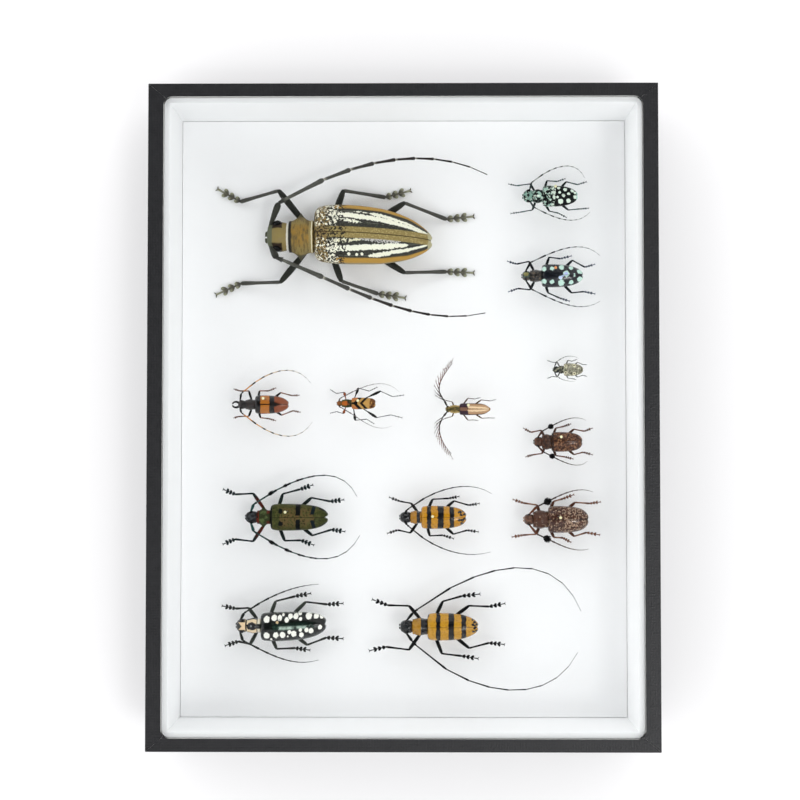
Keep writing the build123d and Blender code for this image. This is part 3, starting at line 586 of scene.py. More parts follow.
def settle(piece, beetle, rings, smooth=2):
    """Round a finished form, note each point's place on the shell, and set it in the box."""
    bpy.ops.object.mode_set(mode="OBJECT")
    apply_modifier("SUBSURF", levels=smooth, render_levels=smooth)
    places = []
    for vertex in piece.data.vertices:
        x, y = vertex.co.x / mm, vertex.co.y / mm
        places += [x, y, y / max(width_at(rings, x), 0.05)]
    note_on(piece, "place", places)
    piece.location = (beetle.x * mm, beetle.y * mm, beetle.level * mm)
    bpy.ops.object.transform_apply()
    return piece


print("hull functions ready")

# %% [markdown]
# The wing cases are one dome with a groove along the middle, where the two cases meet, and a small
# notch at its end. Two cuts beside the middle line hold the groove narrow when the modifier
# rounds the form. The large beetle's wing cases lie a little askew, so they are leaned at the end.

# %% Wing cases
def wing_cases(beetle):
    """Two wing cases that meet in a groove over the belly."""
    rings = []
    for share, across in beetle.outline:
        lift = min(1.0, 0.35 + 0.65 * across)
        x = beetle.base + share * (beetle.tail - beetle.base)
        rings.append((x, across * beetle.width / 2, beetle.rise * lift, beetle.drop * lift))
    piece = ringed_hull(f"{beetle.name}_wing_cases", rings)
    groove = 0.022 * beetle.width * mm
    end = beetle.tail * mm
    for place in (groove, 0.55 * mm) if beetle.notch else (groove,):
        cut((0, place, 0), (0, 1, 0))
        cut((0, -place, 0), (0, 1, 0))
    pick(lambda co: abs(co.y) < near and co.z > near and co.x > beetle.base * mm + near)
    bpy.ops.transform.translate(value=(0, 0, -0.8 * groove))
    notch = beetle.notch or 0.012 * beetle.length
    pick(lambda co: abs(co.y) < groove + near and co.x > end - near)
    bpy.ops.transform.translate(value=(-notch * mm, 0, 0))
    pick(lambda co: abs(co.y) > 0.3 * beetle.width * mm and co.z > 0.3 * beetle.rise * mm)
    bpy.ops.transform.resize(value=(1, 1.03, 1.05), center_override=(0, 0, 0))
    settle(piece, beetle, rings)
    for vertex in piece.data.vertices:
        share = (vertex.co.x / mm - beetle.x - beetle.base) / (beetle.tail - beetle.base)
        vertex.co.y += beetle.tail_drift * (share * share - 0.35) * mm
    return piece


print("wing case function ready")

# %% [markdown]
# The shield behind the head has a collar at each end and bulges in between. Some beetles have a
# spine on each side of it. There we select the side faces at mid-length, extrude them outwards and
# shrink their ends, twice, so that they run to a point.

# %% Shield
def pick_faces(test):
    """Select the faces of the open mesh whose centre passes a test, and nothing else."""
    bpy.ops.mesh.select_mode(type="FACE")
    mesh = bpy.context.object.data
    edit = bmesh.from_edit_mesh(mesh)
    for face in edit.faces:
        face.select_set(False)
    for face in edit.faces:
        if test(face.calc_center_median()):
            face.select_set(True)
    bmesh.update_edit_mesh(mesh, loop_triangles=False, destructive=False)


def draw_spine(beetle, side, middle, half):
    """Pull a pointed spine out of the side of the shield."""
    root_half, root_side = 0.24 * beetle.shield[1] * mm, 0.9 * half * mm
    pick_faces(lambda co: abs(co.x - middle) < root_half and side * co.y > root_side)
    reach = half
    for step, shrink in ((0.55, 0.5), (0.65, 0.3)):
        reach += step * beetle.spine
        bpy.ops.mesh.extrude_region_move(
            TRANSFORM_OT_translate={"value": (0, side * step * beetle.spine * mm, 0)})
        bpy.ops.transform.resize(
            value=(shrink, 1, shrink), center_override=(middle, side * reach * mm, 0))
    bpy.ops.mesh.select_mode(type="VERT")


def shield(beetle):
    """The shield behind the head, with collars and, on some, side spines."""
    length, width = beetle.shield
    rings = []
    for share, across in (
            (0, 0.80), (0.07, 0.86), (0.15, 0.83), (0.28, 0.92), (0.5, 1), (0.72, 0.93),
            (0.86, 0.85), (0.94, 0.89), (1.06, 0.86)):
        x = beetle.neck + share * length
        rings.append((x, across * width / 2, across * beetle.rise * 0.84, across * beetle.drop * 0.88))
    piece = ringed_hull(f"{beetle.name}_shield", rings)
    if beetle.spine:
        for side in (-1, 1):
            draw_spine(beetle, side, rings[4][0] * mm, width / 2)
    return settle(piece, beetle, rings)


print("shield function ready")

# %% [markdown]
# The head is widest at the eyes. An eye is a flattened ball, and a smaller ball on its inner side
# is the socket of the antenna. The shell's material tells them apart by the note that they carry.

# %% Head, eyes and sockets
eye_note, socket_note = 9.0, 0.5


def ball(beetle, name, centre, sizes, turn, note):
    """A flattened ball on the head, all in millimetres from the middle of the body."""
    clear_selection()
    x, y, z = centre
    bpy.ops.mesh.primitive_uv_sphere_add(
        segments=16, ring_count=10, radius=mm, rotation=(0, 0, turn), scale=sizes,
        location=((beetle.x + x) * mm, (beetle.y + y) * mm, (beetle.level + z) * mm))
    piece = bpy.context.object
    piece.name = name
    bpy.ops.object.transform_apply()
    note_on(piece, "place", [x, y, note] * len(piece.data.vertices))
    return piece


def head(beetle):
    """The head with its two eyes and the sockets of the antennae."""
    length, width = beetle.head
    rings = []
    for share, across in ((0, 0.44), (0.10, 0.70), (0.32, 0.92), (0.55, 1), (0.8, 0.93), (1.10, 0.86)):
        x = beetle.front + share * length
        rings.append((x, across * width / 2, across * beetle.rise * 0.68, across * beetle.drop * 0.88))
    pieces = [settle(ringed_hull(f"{beetle.name}_head", rings), beetle, rings)]
    for side in (-1, 1):
        eye = (beetle.front + 0.50 * length, side * 0.40 * width, 0.28 * beetle.rise)
        sizes = (0.21 * length, 0.11 * width, 0.26 * beetle.rise)
        pieces.append(ball(beetle, f"{beetle.name}_eye", eye, sizes, side * 0.35, eye_note))
        root = beetle.antennae[0 if side > 0 else 1][0]
        socket = (root[0] + 0.08 * length, 0.8 * root[1], 0.30 * beetle.rise)
        size = 1.7 * beetle.feeler
        pieces.append(ball(beetle, f"{beetle.name}_socket", socket, (size, size, 0.9 * size), 0, socket_note))
    return pieces


print("head function ready")

# %% [markdown]
# Legs, antennae, hairs and jaws are all thin tapering tubes. A curve with a round bevel makes such a
# tube, and a radius at each of its points makes it swell and narrow. All the tubes of one beetle are
# the runs of one curve, which is turned into a mesh at the end. The mesh has one ring of corners for
# each point, in order, so we can note on it what each ring belongs to, and the materials read that
# note to colour the joints. Fill Holes then closes the open ends.

# %% Tapering tubes
class Tube:
    """A run of points in millimetres, their radii, and what each belongs to."""

    def __init__(self, points, radii, kind, along=(0, 1), flat=1.0):
        self.points = [Vector(point) for point in points]
        self.radii = radii
        self.flat = flat
        last = len(points) - 1
        self.notes = []
        for index in range(len(points)):
            local = index / last
            self.notes.append((along[0] + local * (along[1] - along[0]), local, kind))


leg_kind, antenna_kind, hair_kind, jaw_kind, pad_kind, front_kind = 0.0, 1.0, 2.0, 3.0, 4.0, 5.0


def tube_mesh(name, tubes, corners):
    """All the tubes as one closed mesh that carries the notes."""
    clear_selection()
    curve = bpy.data.curves.new(name, "CURVE")
    curve.dimensions = "3D"
    curve.bevel_depth = mm
    curve.bevel_resolution = corners // 2 - 2
    for run in tubes:
        spline = curve.splines.new("POLY")
        spline.points.add(len(run.points) - 1)
        for made, point, radius in zip(spline.points, run.points, run.radii):
            made.co = (*(point * mm), 1)
            made.radius = radius
    piece = bpy.data.objects.new(name, curve)
    bpy.context.collection.objects.link(piece)
    piece.select_set(True)
    bpy.context.view_layer.objects.active = piece
    bpy.ops.object.convert(target="MESH")
    piece = bpy.context.object
    notes = [note for run in tubes for note in run.notes]
    levels = [(point.z * mm, run.flat) for run in tubes for point in run.points]
    values = []
    for vertex in piece.data.vertices:
        level, flat = levels[vertex.index // corners]
        vertex.co.z = level + flat * (vertex.co.z - level)
        values += notes[vertex.index // corners]
    note_on(piece, "limb", values)
    bpy.ops.object.mode_set(mode="EDIT")
    bpy.ops.mesh.select_all(action="SELECT")
    bpy.ops.mesh.fill_holes(sides=0)
    bpy.ops.mesh.normals_make_consistent(inside=False)
    bpy.ops.object.mode_set(mode="OBJECT")
    return piece


print("tube functions ready")

# %% [markdown]
# A leg has a swollen thigh, a slim shin that widens to its end, and a foot. The foot is a thin stalk
# with three pairs of flat splayed lobes, like leaves on a twig, and a pair of claws at its end. The
# leg is set out like a pinned specimen's: the hip is hidden under the body, the knee is highest, and
# the foot lies just under the belly.

# %% Legs
thigh_form = ((0, 0.55), (0.2, 0.75), (0.45, 0.95), (0.7, 1.0), (0.88, 0.85), (0.97, 0.62), (1, 0.4))
club_form = ((0, 0.38), (0.25, 0.4), (0.5, 0.52), (0.66, 1.05), (0.8, 1.35), (0.93, 1.0), (1, 0.45))
shin_form = ((0, 0.36), (0.05, 0.54), (0.25, 0.47), (0.6, 0.5), (0.88, 0.64), (0.97, 0.62), (1, 0.45))
lobe_form = ((0, 0.2), (0.3, 0.48), (0.62, 0.6), (0.88, 0.46), (1, 0.18))
last_form = ((0, 0.28), (0.35, 0.26), (0.8, 0.27), (0.95, 0.34), (1, 0.24))
claw_form = ((0, 0.24), (0.5, 0.2), (1, 0.05))
hip_side, hip_depth, knee_depth, ankle_height, claw_depth = 0.14, 0.55, 0.15, 0.1, 0.8


def between(start, end, share):
    """The point at a share of the way from start to end."""
    return Vector(start).lerp(Vector(end), share)


def straight_tube(start, end, form, size, kind, along, flat=1.0):
    """A tube from start to end whose radii follow a form of shares."""
    points = [between(start, end, share) for share, _ in form]
    return Tube(points, [size * radius for _, radius in form], kind, along, flat)


def leg(beetle, hip_x, side, joints):
    """Thigh, shin, foot and claws."""
    belly = beetle.level - beetle.drop
    levels = (
        beetle.level - hip_depth * beetle.drop, beetle.level - knee_depth * beetle.drop,
        belly + ankle_height, belly - claw_depth)
    places = ((hip_x, side * hip_side * beetle.width), *joints)
    hip, knee, ankle, claw = [
        Vector((beetle.x + x, beetle.y + y, z)) for (x, y), z in zip(places, levels)]
    form = club_form if beetle.club else thigh_form
    size = beetle.femur
    shin = size * (0.7 if beetle.club else 1.0)
    thigh_kind = front_kind if hip_x == beetle.legs[0][0] else leg_kind
    tubes = [
        straight_tube(hip, knee, form, size, thigh_kind, (0, 0.4)),
        straight_tube(between(knee, hip, 0.02), ankle, shin_form, shin, leg_kind, (0.4, 0.75)),
        straight_tube(ankle, between(ankle, claw, 0.95), last_form, size, pad_kind, (0.75, 0.97)),
    ]
    foot = claw - ankle
    across = Vector((-foot.y, foot.x, 0)).normalized()
    pad = beetle.pads * size
    for way in (-1, 1):
        for place, splay in ((0.03, 0.6), (0.27, 0.85), (0.52, 1.05)):
            root = between(ankle, claw, place) + 0.1 * pad * way * across
            tip = root + 0.19 * foot + splay * pad * way * across
            tubes.append(straight_tube(root, tip, lobe_form, pad, pad_kind, (0.8, 0.9), 0.5))
        root = between(ankle, claw, 0.93)
        bend = root + 0.04 * foot + way * 0.05 * foot.length * across
        tip = root + 0.065 * foot + way * 0.1 * foot.length * across
        radii = [size * radius for _, radius in claw_form]
        tubes.append(Tube((root, bend, tip), radii, leg_kind, (0.96, 1)))
    return tubes


print("leg function ready")

# %% [markdown]
# An antenna has a stout first joint and then a long whip of about ten, each a little thicker at its
# far end, which makes the knots that are seen along it. The joints are straight, with their ends on
# the cubic curve through four points. We walk along that curve in small steps, so that each joint
# gets its share of the length.

# %% Antennae
whip_shares = (0.03, 0.20, 0.13, 0.11, 0.10, 0.09, 0.085, 0.085, 0.085, 0.085)
whip_form = ((0, 0.62), (0.1, 0.76), (0.5, 0.84), (0.82, 1.08), (0.94, 1.3), (1, 0.8))
first_joint_form = ((0, 0.7), (0.15, 0.95), (0.45, 1.3), (0.75, 1.6), (0.93, 1.5), (1, 0.9))
root_height, whip_height, whip_fall = 0.22, 0.62, 0.45


def through_four(points, t):
    """The point at t on the cubic curve through four points."""
    weights = (
        (1 - 3 * t) * (2 - 3 * t) * (1 - t) / 2, 9 * t * (1 - t) * (2 - 3 * t) / 2,
        9 * t * (1 - t) * (3 * t - 1) / 2, t * (1 - 3 * t) * (2 - 3 * t) / 2)
    return [sum(weight * point[axis] for weight, point in zip(weights, points)) for axis in (0, 1)]


def whip_line(beetle, route, steps=160):
    """Points along the whip, with the share of its length that each has reached."""
    line = []
    for step in range(steps + 1):
        t = step / steps
        x, y = through_four(route[1:], t)
        z = beetle.level + beetle.rise * (whip_height - whip_fall * t)
        line.append(Vector((beetle.x + x, beetle.y + y, z)))
    lengths = [0.0]
    for here, ahead in zip(line, line[1:]):
        lengths.append(lengths[-1] + (ahead - here).length)
    return line, [length / lengths[-1] for length in lengths]


def along_line(line, reached, share):
    """The point at a share of a line's length."""
    for index in range(1, len(line)):
        if share <= reached[index] or index == len(line) - 1:
            step = reached[index] - reached[index - 1]
            return between(line[index - 1], line[index], (share - reached[index - 1]) / step)


def antenna(beetle, route):
    """The first joint and the whip, as tubes."""
    x, y = route[0]
    root = Vector((beetle.x + x, beetle.y + y, beetle.level + root_height * beetle.rise))
    line, reached = whip_line(beetle, route)
    tubes = [straight_tube(root, line[0], first_joint_form, beetle.feeler, antenna_kind, (0, 0.08))]
    start = 0.0
    for share in whip_shares:
        end = min(1.0, start + share)
        first, last = along_line(line, reached, start), along_line(line, reached, end)
        points = [between(first, last, part) for part, _ in whip_form]
        radii = []
        for part, radius in whip_form:
            along = start + part * (end - start)
            radii.append(beetle.feeler * radius * (1.12 - 0.6 * along - 0.34 * along ** 3))
        tubes.append(Tube(points, radii, antenna_kind, (0.1 + 0.9 * start, 0.1 + 0.9 * end)))
        start = end
    return tubes


print("antenna function ready")

# %% [markdown]
# Three beetles carry brushes of black hair on their antennae, and one has a comb of long side
# branches. A hair is a tube with four corners and two rings, so that hundreds of them stay light.
# A seeded random choice gives the same hairs in each run.

# %% Hair brushes, combs and jaws
core_form = ((0, 0.25), (0.2, 0.6), (0.5, 0.78), (0.8, 0.6), (1, 0.25))
wide_brush, many_hairs, few_hairs = 2.5, 150, 80
comb_branches, first_branch, branch_step, branch_lean, branch_bend = 11, 0.04, 0.088, 0.48, 0.12
branch_hairs, branch_hair_length = 16, 0.6


def brush(beetle, route, share, across, chance):
    """A round brush of hair about a place on the whip, with a dark core."""
    line, reached = whip_line(beetle, route)
    middle = along_line(line, reached, share)
    way = (middle - along_line(line, reached, max(0.0, share - 0.04))).normalized()
    aside = Vector((-way.y, way.x, 0)).normalized()
    up = way.cross(aside)
    stretch = 1.5 if len(beetle.tufts) > 1 else 1.0
    core = 0.42 * stretch * across * way
    tubes = [straight_tube(middle - core, middle + core, core_form, 0.5 * across, hair_kind, (0, 1))]
    for _ in range(many_hairs if across > wide_brush else few_hairs):
        turn = chance.uniform(0, 2 * pi)
        place = chance.uniform(-1, 1)
        out = sqrt(1 - place * place) * (cos(turn) * aside + sin(turn) * up) + stretch * place * way
        root = middle + 0.3 * across * out
        tip = middle + (out + 0.25 * way) * across * chance.uniform(0.46, 0.54)
        tubes.append(Tube((root, tip), (0.05 * across, 0.014 * across), hair_kind))
    return tubes


def comb(beetle, route, chance):
    """The branches of a feathered antenna, each with fine hairs on both sides."""
    line, reached = whip_line(beetle, route)
    tubes = []
    for joint in range(comb_branches):
        share = first_branch + branch_step * joint
        root = along_line(line, reached, share)
        way = (along_line(line, reached, min(1, share + 0.03)) - root).normalized()
        aside = Vector((-abs(way.y), way.x if way.y > 0 else -way.x, 0))
        lean = (branch_lean * aside + way).normalized()
        out = Vector((-lean.y, lean.x, 0))
        reach = beetle.rami * (1.0 if joint < 9 else 0.8)
        points = [
            root + reach * part * (lean - branch_bend * part * aside) for part in (0, 0.3, 0.65, 1)]
        tubes.append(Tube(points, (0.2, 0.16, 0.1, 0.03), hair_kind, (share, share)))
        for _ in range(branch_hairs):
            part = chance.uniform(0.04, 1)
            start = root + reach * part * (lean - branch_bend * part * aside)
            side = chance.choice((-1, 1))
            way_out = lean + 0.62 * side * out + Vector((0, 0, chance.uniform(-0.3, 0.3)))
            tip = start + way_out * branch_hair_length
            tubes.append(Tube((start, tip), (0.05, 0.015), hair_kind, (share, share)))
    return tubes


def jaws(beetle):
    """A pair of curved jaws at the front of the head, which meet in a ring."""
    reach = beetle.jaws or 0.009 * beetle.length
    size = (0.13 if beetle.jaws else 0.05) * beetle.head[1]
    bow = (0.30 if beetle.jaws else 0.15) * beetle.head[1]
    middle = beetle.front - 0.4 * reach
    tubes = []
    for side in (-1, 1):
        points = []
        for step in range(9):
            turn = pi * (0.12 + 0.83 * step / 8)
            x = middle + 0.58 * reach * cos(turn)
            y = side * (bow * sin(turn) + 0.06)
            points.append((beetle.x + x, beetle.y + y, beetle.level - 0.2 * beetle.drop))
        tubes.append(Tube(points, [size * (1.1 - 0.5 * step / 8) for step in range(9)], jaw_kind))
    return tubes


print("hair and jaw functions ready")

# %% [markdown]
# Now all thirteen are built. Each beetle becomes two pieces: the body with its eyes, and the limbs.
# Both ride on that beetle's own body in the frame, and the shell stands for the plain solid.

# %% Build the beetles
def join(pieces, name, angle=40):
    """Join pieces into one, with outward faces and smooth shading."""
    clear_selection()
    for piece in pieces:
        piece.select_set(True)
    bpy.context.view_layer.objects.active = pieces[0]
    if len(pieces) > 1:
        bpy.ops.object.join()
    piece = bpy.context.object
    piece.name = name
    bpy.ops.object.mode_set(mode="EDIT")
    bpy.ops.mesh.select_all(action="SELECT")
    bpy.ops.mesh.normals_make_consistent(inside=False)
    bpy.ops.object.mode_set(mode="OBJECT")
    bpy.ops.object.shade_smooth_by_angle(angle=angle * pi / 180)
    return piece


tube_corners, hair_corners = 8, 4
bodies, limbs = {}, {}
for beetle in beetles:
    chance = random.Random(beetle.name)
    bodies[beetle.name] = join(
        [wing_cases(beetle), shield(beetle), *head(beetle)], f"{beetle.name}_body")
    tubes, hairs = jaws(beetle), []
    for hip_x, right, left in beetle.legs:
        tubes += leg(beetle, hip_x, 1, right) + leg(beetle, hip_x, -1, left)
    for route in beetle.antennae:
        tubes += antenna(beetle, route)
        for share, across in beetle.tufts:
            hairs += brush(beetle, route, share, across, chance)
        if beetle.rami:
            hairs += comb(beetle, route, chance)
    meshes = [tube_mesh(f"{beetle.name}_tubes", tubes, tube_corners)]
    if hairs:
        meshes.append(tube_mesh(f"{beetle.name}_hairs", hairs, hair_corners))
    limbs[beetle.name] = join(meshes, f"{beetle.name}_limbs", 60)
    body, limb = bodies[beetle.name], limbs[beetle.name]
    for piece in (body, limb):
        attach(piece, f"specimen_{beetle.name}")
    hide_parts(f"beetle_{beetle.name}")
    print(beetle.name, len(body.data.polygons), "body faces,", len(limb.data.polygons), "limb faces")

# %% [markdown]
# A specimen pin is a thin steel wire with a ground point and a small enamelled ball for a head. The
# pins of three beetles end inside the body, so they have no head. The wire is a cylinder whose lower
# ring is shrunk to the point, and the head is a squashed ball pushed onto its top.

# %% Pins
pin_radius, pin_tip, pin_top, point_length = 0.25, 3.0, 41.0, 1.5
head_radius, head_height, buried = 0.65, 0.9, 1.2


def pin(beetle):
    """One pin, with its head where it stands out of the back."""
    x, y = beetle.x + beetle.pin[0], beetle.y + beetle.pin[1]
    head_middle = pin_top - 0.5 * head_height
    top = beetle.level + 0.8 * beetle.rise - buried if beetle.hidden_pin else head_middle
    clear_selection()
    bpy.ops.mesh.primitive_cylinder_add(
        vertices=12, radius=pin_radius * mm, depth=(top - pin_tip) * mm,
        location=(x * mm, y * mm, (top + pin_tip) / 2 * mm))
    wire = bpy.context.object
    bpy.ops.object.transform_apply()
    bpy.ops.object.mode_set(mode="EDIT")
    cut((0, 0, (pin_tip + point_length) * mm), (0, 0, 1))
    pick(lambda co: co.z < pin_tip * mm + near)
    bpy.ops.transform.resize(value=(0.15, 0.15, 1), center_override=(x * mm, y * mm, pin_tip * mm))
    bpy.ops.object.mode_set(mode="OBJECT")
    pieces = [wire]
    if not beetle.hidden_pin:
        clear_selection()
        bpy.ops.mesh.primitive_uv_sphere_add(
            segments=16, ring_count=10, radius=mm, scale=(head_radius, head_radius, 0.5 * head_height),
            location=(x * mm, y * mm, head_middle * mm))
        bpy.ops.object.transform_apply()
        pieces.append(bpy.context.object)
    return join(pieces, f"{beetle.name}_specimen_pin")


pins = {}
for beetle in beetles:
    pins[beetle.name] = pin(beetle)
    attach(pins[beetle.name], f"specimen_{beetle.name}")
    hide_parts(f"pin_{beetle.name}")
print(len(pins), "pins")

# %% [markdown]
# Every shell has its own pattern, but the patterns are made of a few marks: bands across the back,
# ragged stripes along it, oval spots, and speckle. Each mark is a node group that turns a place on
# the shell into a mask. The place is the note that we left on the mesh: millimetres along the
# body, millimetres across it, and the share of the half width.

# %% Groups for bands and stripes
band_group, given, wanted = new_group(
    "Band across", {"Place": (0.0, 0.0, 0.0), "From": 0.0, "To": 1.0, "Waviness": 0.3}, {"Mask": 0.0})
tree, place, edge_softness = band_group, given["Place"], 0.08
along = parts_of(tree, place)["X"]
wobble = maths(tree, "SUBTRACT", noise_of(tree, place, 0.8), 0.5)
shifted = maths(tree, "ADD", along, maths(tree, "MULTIPLY", wobble, given["Waviness"]))
from_start = maths(tree, "SUBTRACT", shifted, given["From"])
to_end = maths(tree, "SUBTRACT", given["To"], shifted)
ends = [smooth_step(tree, inwards, -edge_softness, edge_softness) for inwards in (from_start, to_end)]
tree.links.new(maths(tree, "MULTIPLY", *ends), wanted["Mask"])

stripe_group, given, wanted = new_group(
    "Stripe along",
    {"Place": (0.0, 0.0, 0.0), "From": 0.0, "To": 1.0, "Across at start": 0.5, "Across at end": 0.5,
     "Half width": 0.05, "Raggedness": 0.5, "Gaps": 0.0},
    {"Mask": 0.0})
tree, place = stripe_group, given["Place"]
along, _, across = parts_of(tree, place)
middle = add_node(tree, "MapRange", {
    "Value": along, "From Min": given["From"], "From Max": given["To"],
    "To Min": given["Across at start"], "To Max": given["Across at end"]}).outputs[0]
aside = maths(tree, "ABSOLUTE", maths(tree, "SUBTRACT", across, middle))
ragged = maths(tree, "SUBTRACT", noise_of(tree, place, 1.1, 3.0), 0.5)
ragged = maths(tree, "MULTIPLY", ragged, maths(tree, "MULTIPLY", given["Raggedness"], 4.0))
half = maths(tree, "MULTIPLY", given["Half width"], maths(tree, "ADD", ragged, 1.0))
from_start = maths(tree, "SUBTRACT", along, given["From"])
to_end = maths(tree, "SUBTRACT", given["To"], along)
nearest_end = maths(tree, "MINIMUM", from_start, to_end)
taper = add_node(tree, "MapRange", {"Value": nearest_end, "From Max": 2.5}).outputs[0]
half = maths(tree, "MULTIPLY", half, maths(tree, "POWER", taper, 0.5))
inside = smooth_step(tree, maths(tree, "SUBTRACT", half, aside), -0.008, 0.012)
over_gaps = maths(tree, "SUBTRACT", noise_of(tree, place, 0.55, 1.0), given["Gaps"])
kept = smooth_step(tree, over_gaps, -0.01, 0.03)
tree.links.new(maths(tree, "MULTIPLY", inside, kept), wanted["Mask"])
print("band group", len(band_group.nodes), "nodes, stripe group", len(stripe_group.nodes), "nodes")

# %% [markdown]
# A spot is the distance from its middle, measured in its own half sizes, with a little noise at the
# edge. Speckle is fine noise cut at a level, and the level sets how much of the ground it covers.

# %% Groups for spots and speckle
def vector_maths(tree, operation, first, second=(0.0, 0.0, 0.0)):
    """The outputs of one Vector Math node."""
    return add_node(tree, "VectorMath", {0: first, 1: second}, operation=operation).outputs


spot_group, given, wanted = new_group(
    "Oval spot",
    {"Place": (0.0, 0.0, 0.0), "Middle": (0.0, 0.0, 0.0), "Half size": (1.0, 1.0, 1.0), "Raggedness": 0.3},
    {"Mask": 0.0})
tree = spot_group
flat_place = vector_maths(tree, "MULTIPLY", given["Place"], (1, 1, 0))[0]
offset = vector_maths(tree, "SUBTRACT", flat_place, given["Middle"])[0]
measured = vector_maths(tree, "DIVIDE", offset, given["Half size"])[0]
away = vector_maths(tree, "LENGTH", measured)["Value"]
rough_edge = maths(tree, "SUBTRACT", noise_of(tree, given["Place"], 1.2), 0.5)
away = maths(tree, "ADD", away, maths(tree, "MULTIPLY", rough_edge, given["Raggedness"]))
tree.links.new(maths(tree, "SUBTRACT", 1.0, smooth_step(tree, away, 0.9, 1.06)), wanted["Mask"])

speckle_group, given, wanted = new_group(
    "Speckle", {"Place": (0.0, 0.0, 0.0), "Grains per mm": 1.0, "Cover": 0.5, "Softness": 0.03},
    {"Mask": 0.0})
tree = speckle_group
grains = noise_of(tree, given["Place"], maths(tree, "MULTIPLY", given["Grains per mm"], 1000), 2.5)
depth = maths(tree, "SUBTRACT", grains, spread(tree, given["Cover"], 0.72, 0.28))
depth = maths(tree, "DIVIDE", depth, given["Softness"])
tree.links.new(smooth_step(tree, depth, -1.0, 1.0), wanted["Mask"])
print("spot group", len(spot_group.nodes), "nodes, speckle group", len(speckle_group.nodes), "nodes")

# %% [markdown]
# Under the pattern lies the surface itself. Wing cases are pitted, and most are covered in
# flat-lying fine hair. Cells give the pits and fine noise gives the hair. The group puts out a height
# for the bump and a tone that makes the roughness vary.

# %% The shell surface group
surface_group, given, wanted = new_group(
    "Shell surface",
    {"Place": (0.0, 0.0, 0.0), "Pits per mm": 1.5, "Pit depth": 0.5, "Hair": 0.5},
    {"Height": 0.0, "Tone": 0.0})
tree, place = surface_group, given["Place"]
pit_scale = maths(tree, "MULTIPLY", given["Pits per mm"], 1000)
cells = add_node(tree, "TexVoronoi", {"Vector": place, "Scale": pit_scale}).outputs
pit = smooth_step(tree, cells["Distance"], 0.05, 0.45)
hair, clouds = noise_of(tree, place, 9000.0, 3.0), noise_of(tree, place, 700.0, 3.0)
for socket, pit_share, other, other_share in (
        ("Height", given["Pit depth"], hair, given["Hair"]), ("Tone", 0.35, clouds, 0.65)):
    parts = [maths(tree, "MULTIPLY", pit, pit_share), maths(tree, "MULTIPLY", other, other_share)]
    tree.links.new(maths(tree, "ADD", *parts), wanted[socket])
print("surface group", len(surface_group.nodes), "nodes")

# %% [markdown]
# A shell is painted as one would paint a model: a ground colour first, and then one mark after
# another on top. This class keeps the colour so far, and each call lays one more colour where all
# the given masks hold. Colours are written as on a colour chart and turned into the linear values
# that shaders use.

# %% Painting a shell
eye_limit, eye_gloss, coat_gloss = 5.0, 0.12, 0.12


def tint(chart):
    """A colour chart value such as 8a5c2e as a linear colour."""
    channels = [int(chart[index:index + 2], 16) / 255 for index in (0, 2, 4)]
    linear = [((value + 0.055) / 1.055) ** 2.4 if value > 0.04 else value / 12.92 for value in channels]
    return (*linear, 1.0)


class ShellPaint:
    """The material of one shell, painted layer by layer."""

    def __init__(self, name, ground):
        self.material, self.tree, self.shader = new_material(f"{name}_shell_paint")
        self.where = object_place(self.tree)
        self.place = add_node(self.tree, "Attribute", attribute_name="place").outputs["Vector"]
        self.along, sideways, self.across = parts_of(self.tree, self.place)
        self.aside = maths(self.tree, "ABSOLUTE", sideways)
        self.outward = maths(self.tree, "ABSOLUTE", self.across)
        self.colour = tint(ground)

    def mask(self, group, *values):
        """The mask of a group, whose sockets take the values in their order."""
        return place_group(self.tree, group, dict(enumerate(values)))["Mask"]

    def lay(self, chart, *masks):
        """Lay a colour over what is there, where all the masks hold."""
        mask = masks[0]
        for other in masks[1:]:
            mask = maths(self.tree, "MULTIPLY", mask, other)
        self.colour = mix_colour(self.tree, mask, self.colour, tint(chart))

    def finish(self, gloss, pits=1.5, pit_depth=0.5, hair=0.5, strength=0.3, coat=0.0, shine=0.1):
        """Blacken the eyes, vary the gloss and add the surface. Gloss is a pair of roughness values."""
        tree = self.tree
        eyes = smooth_step(tree, self.across, eye_limit - 0.5, eye_limit + 0.5)
        self.lay("0b0a0a", eyes)
        outputs = place_group(tree, surface_group, {
            "Place": self.where, "Pits per mm": pits, "Pit depth": pit_depth, "Hair": hair})
        roughness = spread(tree, outputs["Tone"], *gloss)
        fill_sockets(tree, self.shader, {
            "Base Color": self.colour,
            "Roughness": add_node(tree, "Mix", {0: eyes, 2: roughness, 3: eye_gloss}).outputs[0],
            "Normal": bump(tree, outputs["Height"], strength, 0.08),
            "Specular IOR Level": shine, "Coat Weight": coat, "Coat Roughness": coat_gloss})
        return self.material


print("shell paint ready")

# %% [markdown]
# A pattern is then written as a table. Each row is one layer of colour, from the ground up, and names
# the marks that bound it. A mark is only noted in the table, and becomes a mask when the shell is
# painted. Places are in millimetres from the middle of the body, or shares of the half width, and the
# last value of most marks says how soft or ragged their edge is.

# %% Marks and pattern tables
def band(start, end, wave=0.5):
    """A wavy band across the back."""
    return lambda paint: paint.mask(band_group, paint.place, start, end, wave)


def stripe(start, end, first, last, half=0.05, ragged=0.5, gaps=0.0):
    """A stripe along the back, from one share of the half width to another."""
    return lambda paint: paint.mask(stripe_group, paint.place, start, end, first, last, half, ragged, gaps)


def speckle(per_mm, cover, soft=0.03):
    """Fine random grains."""
    return lambda paint: paint.mask(speckle_group, paint.where, per_mm, cover, soft)


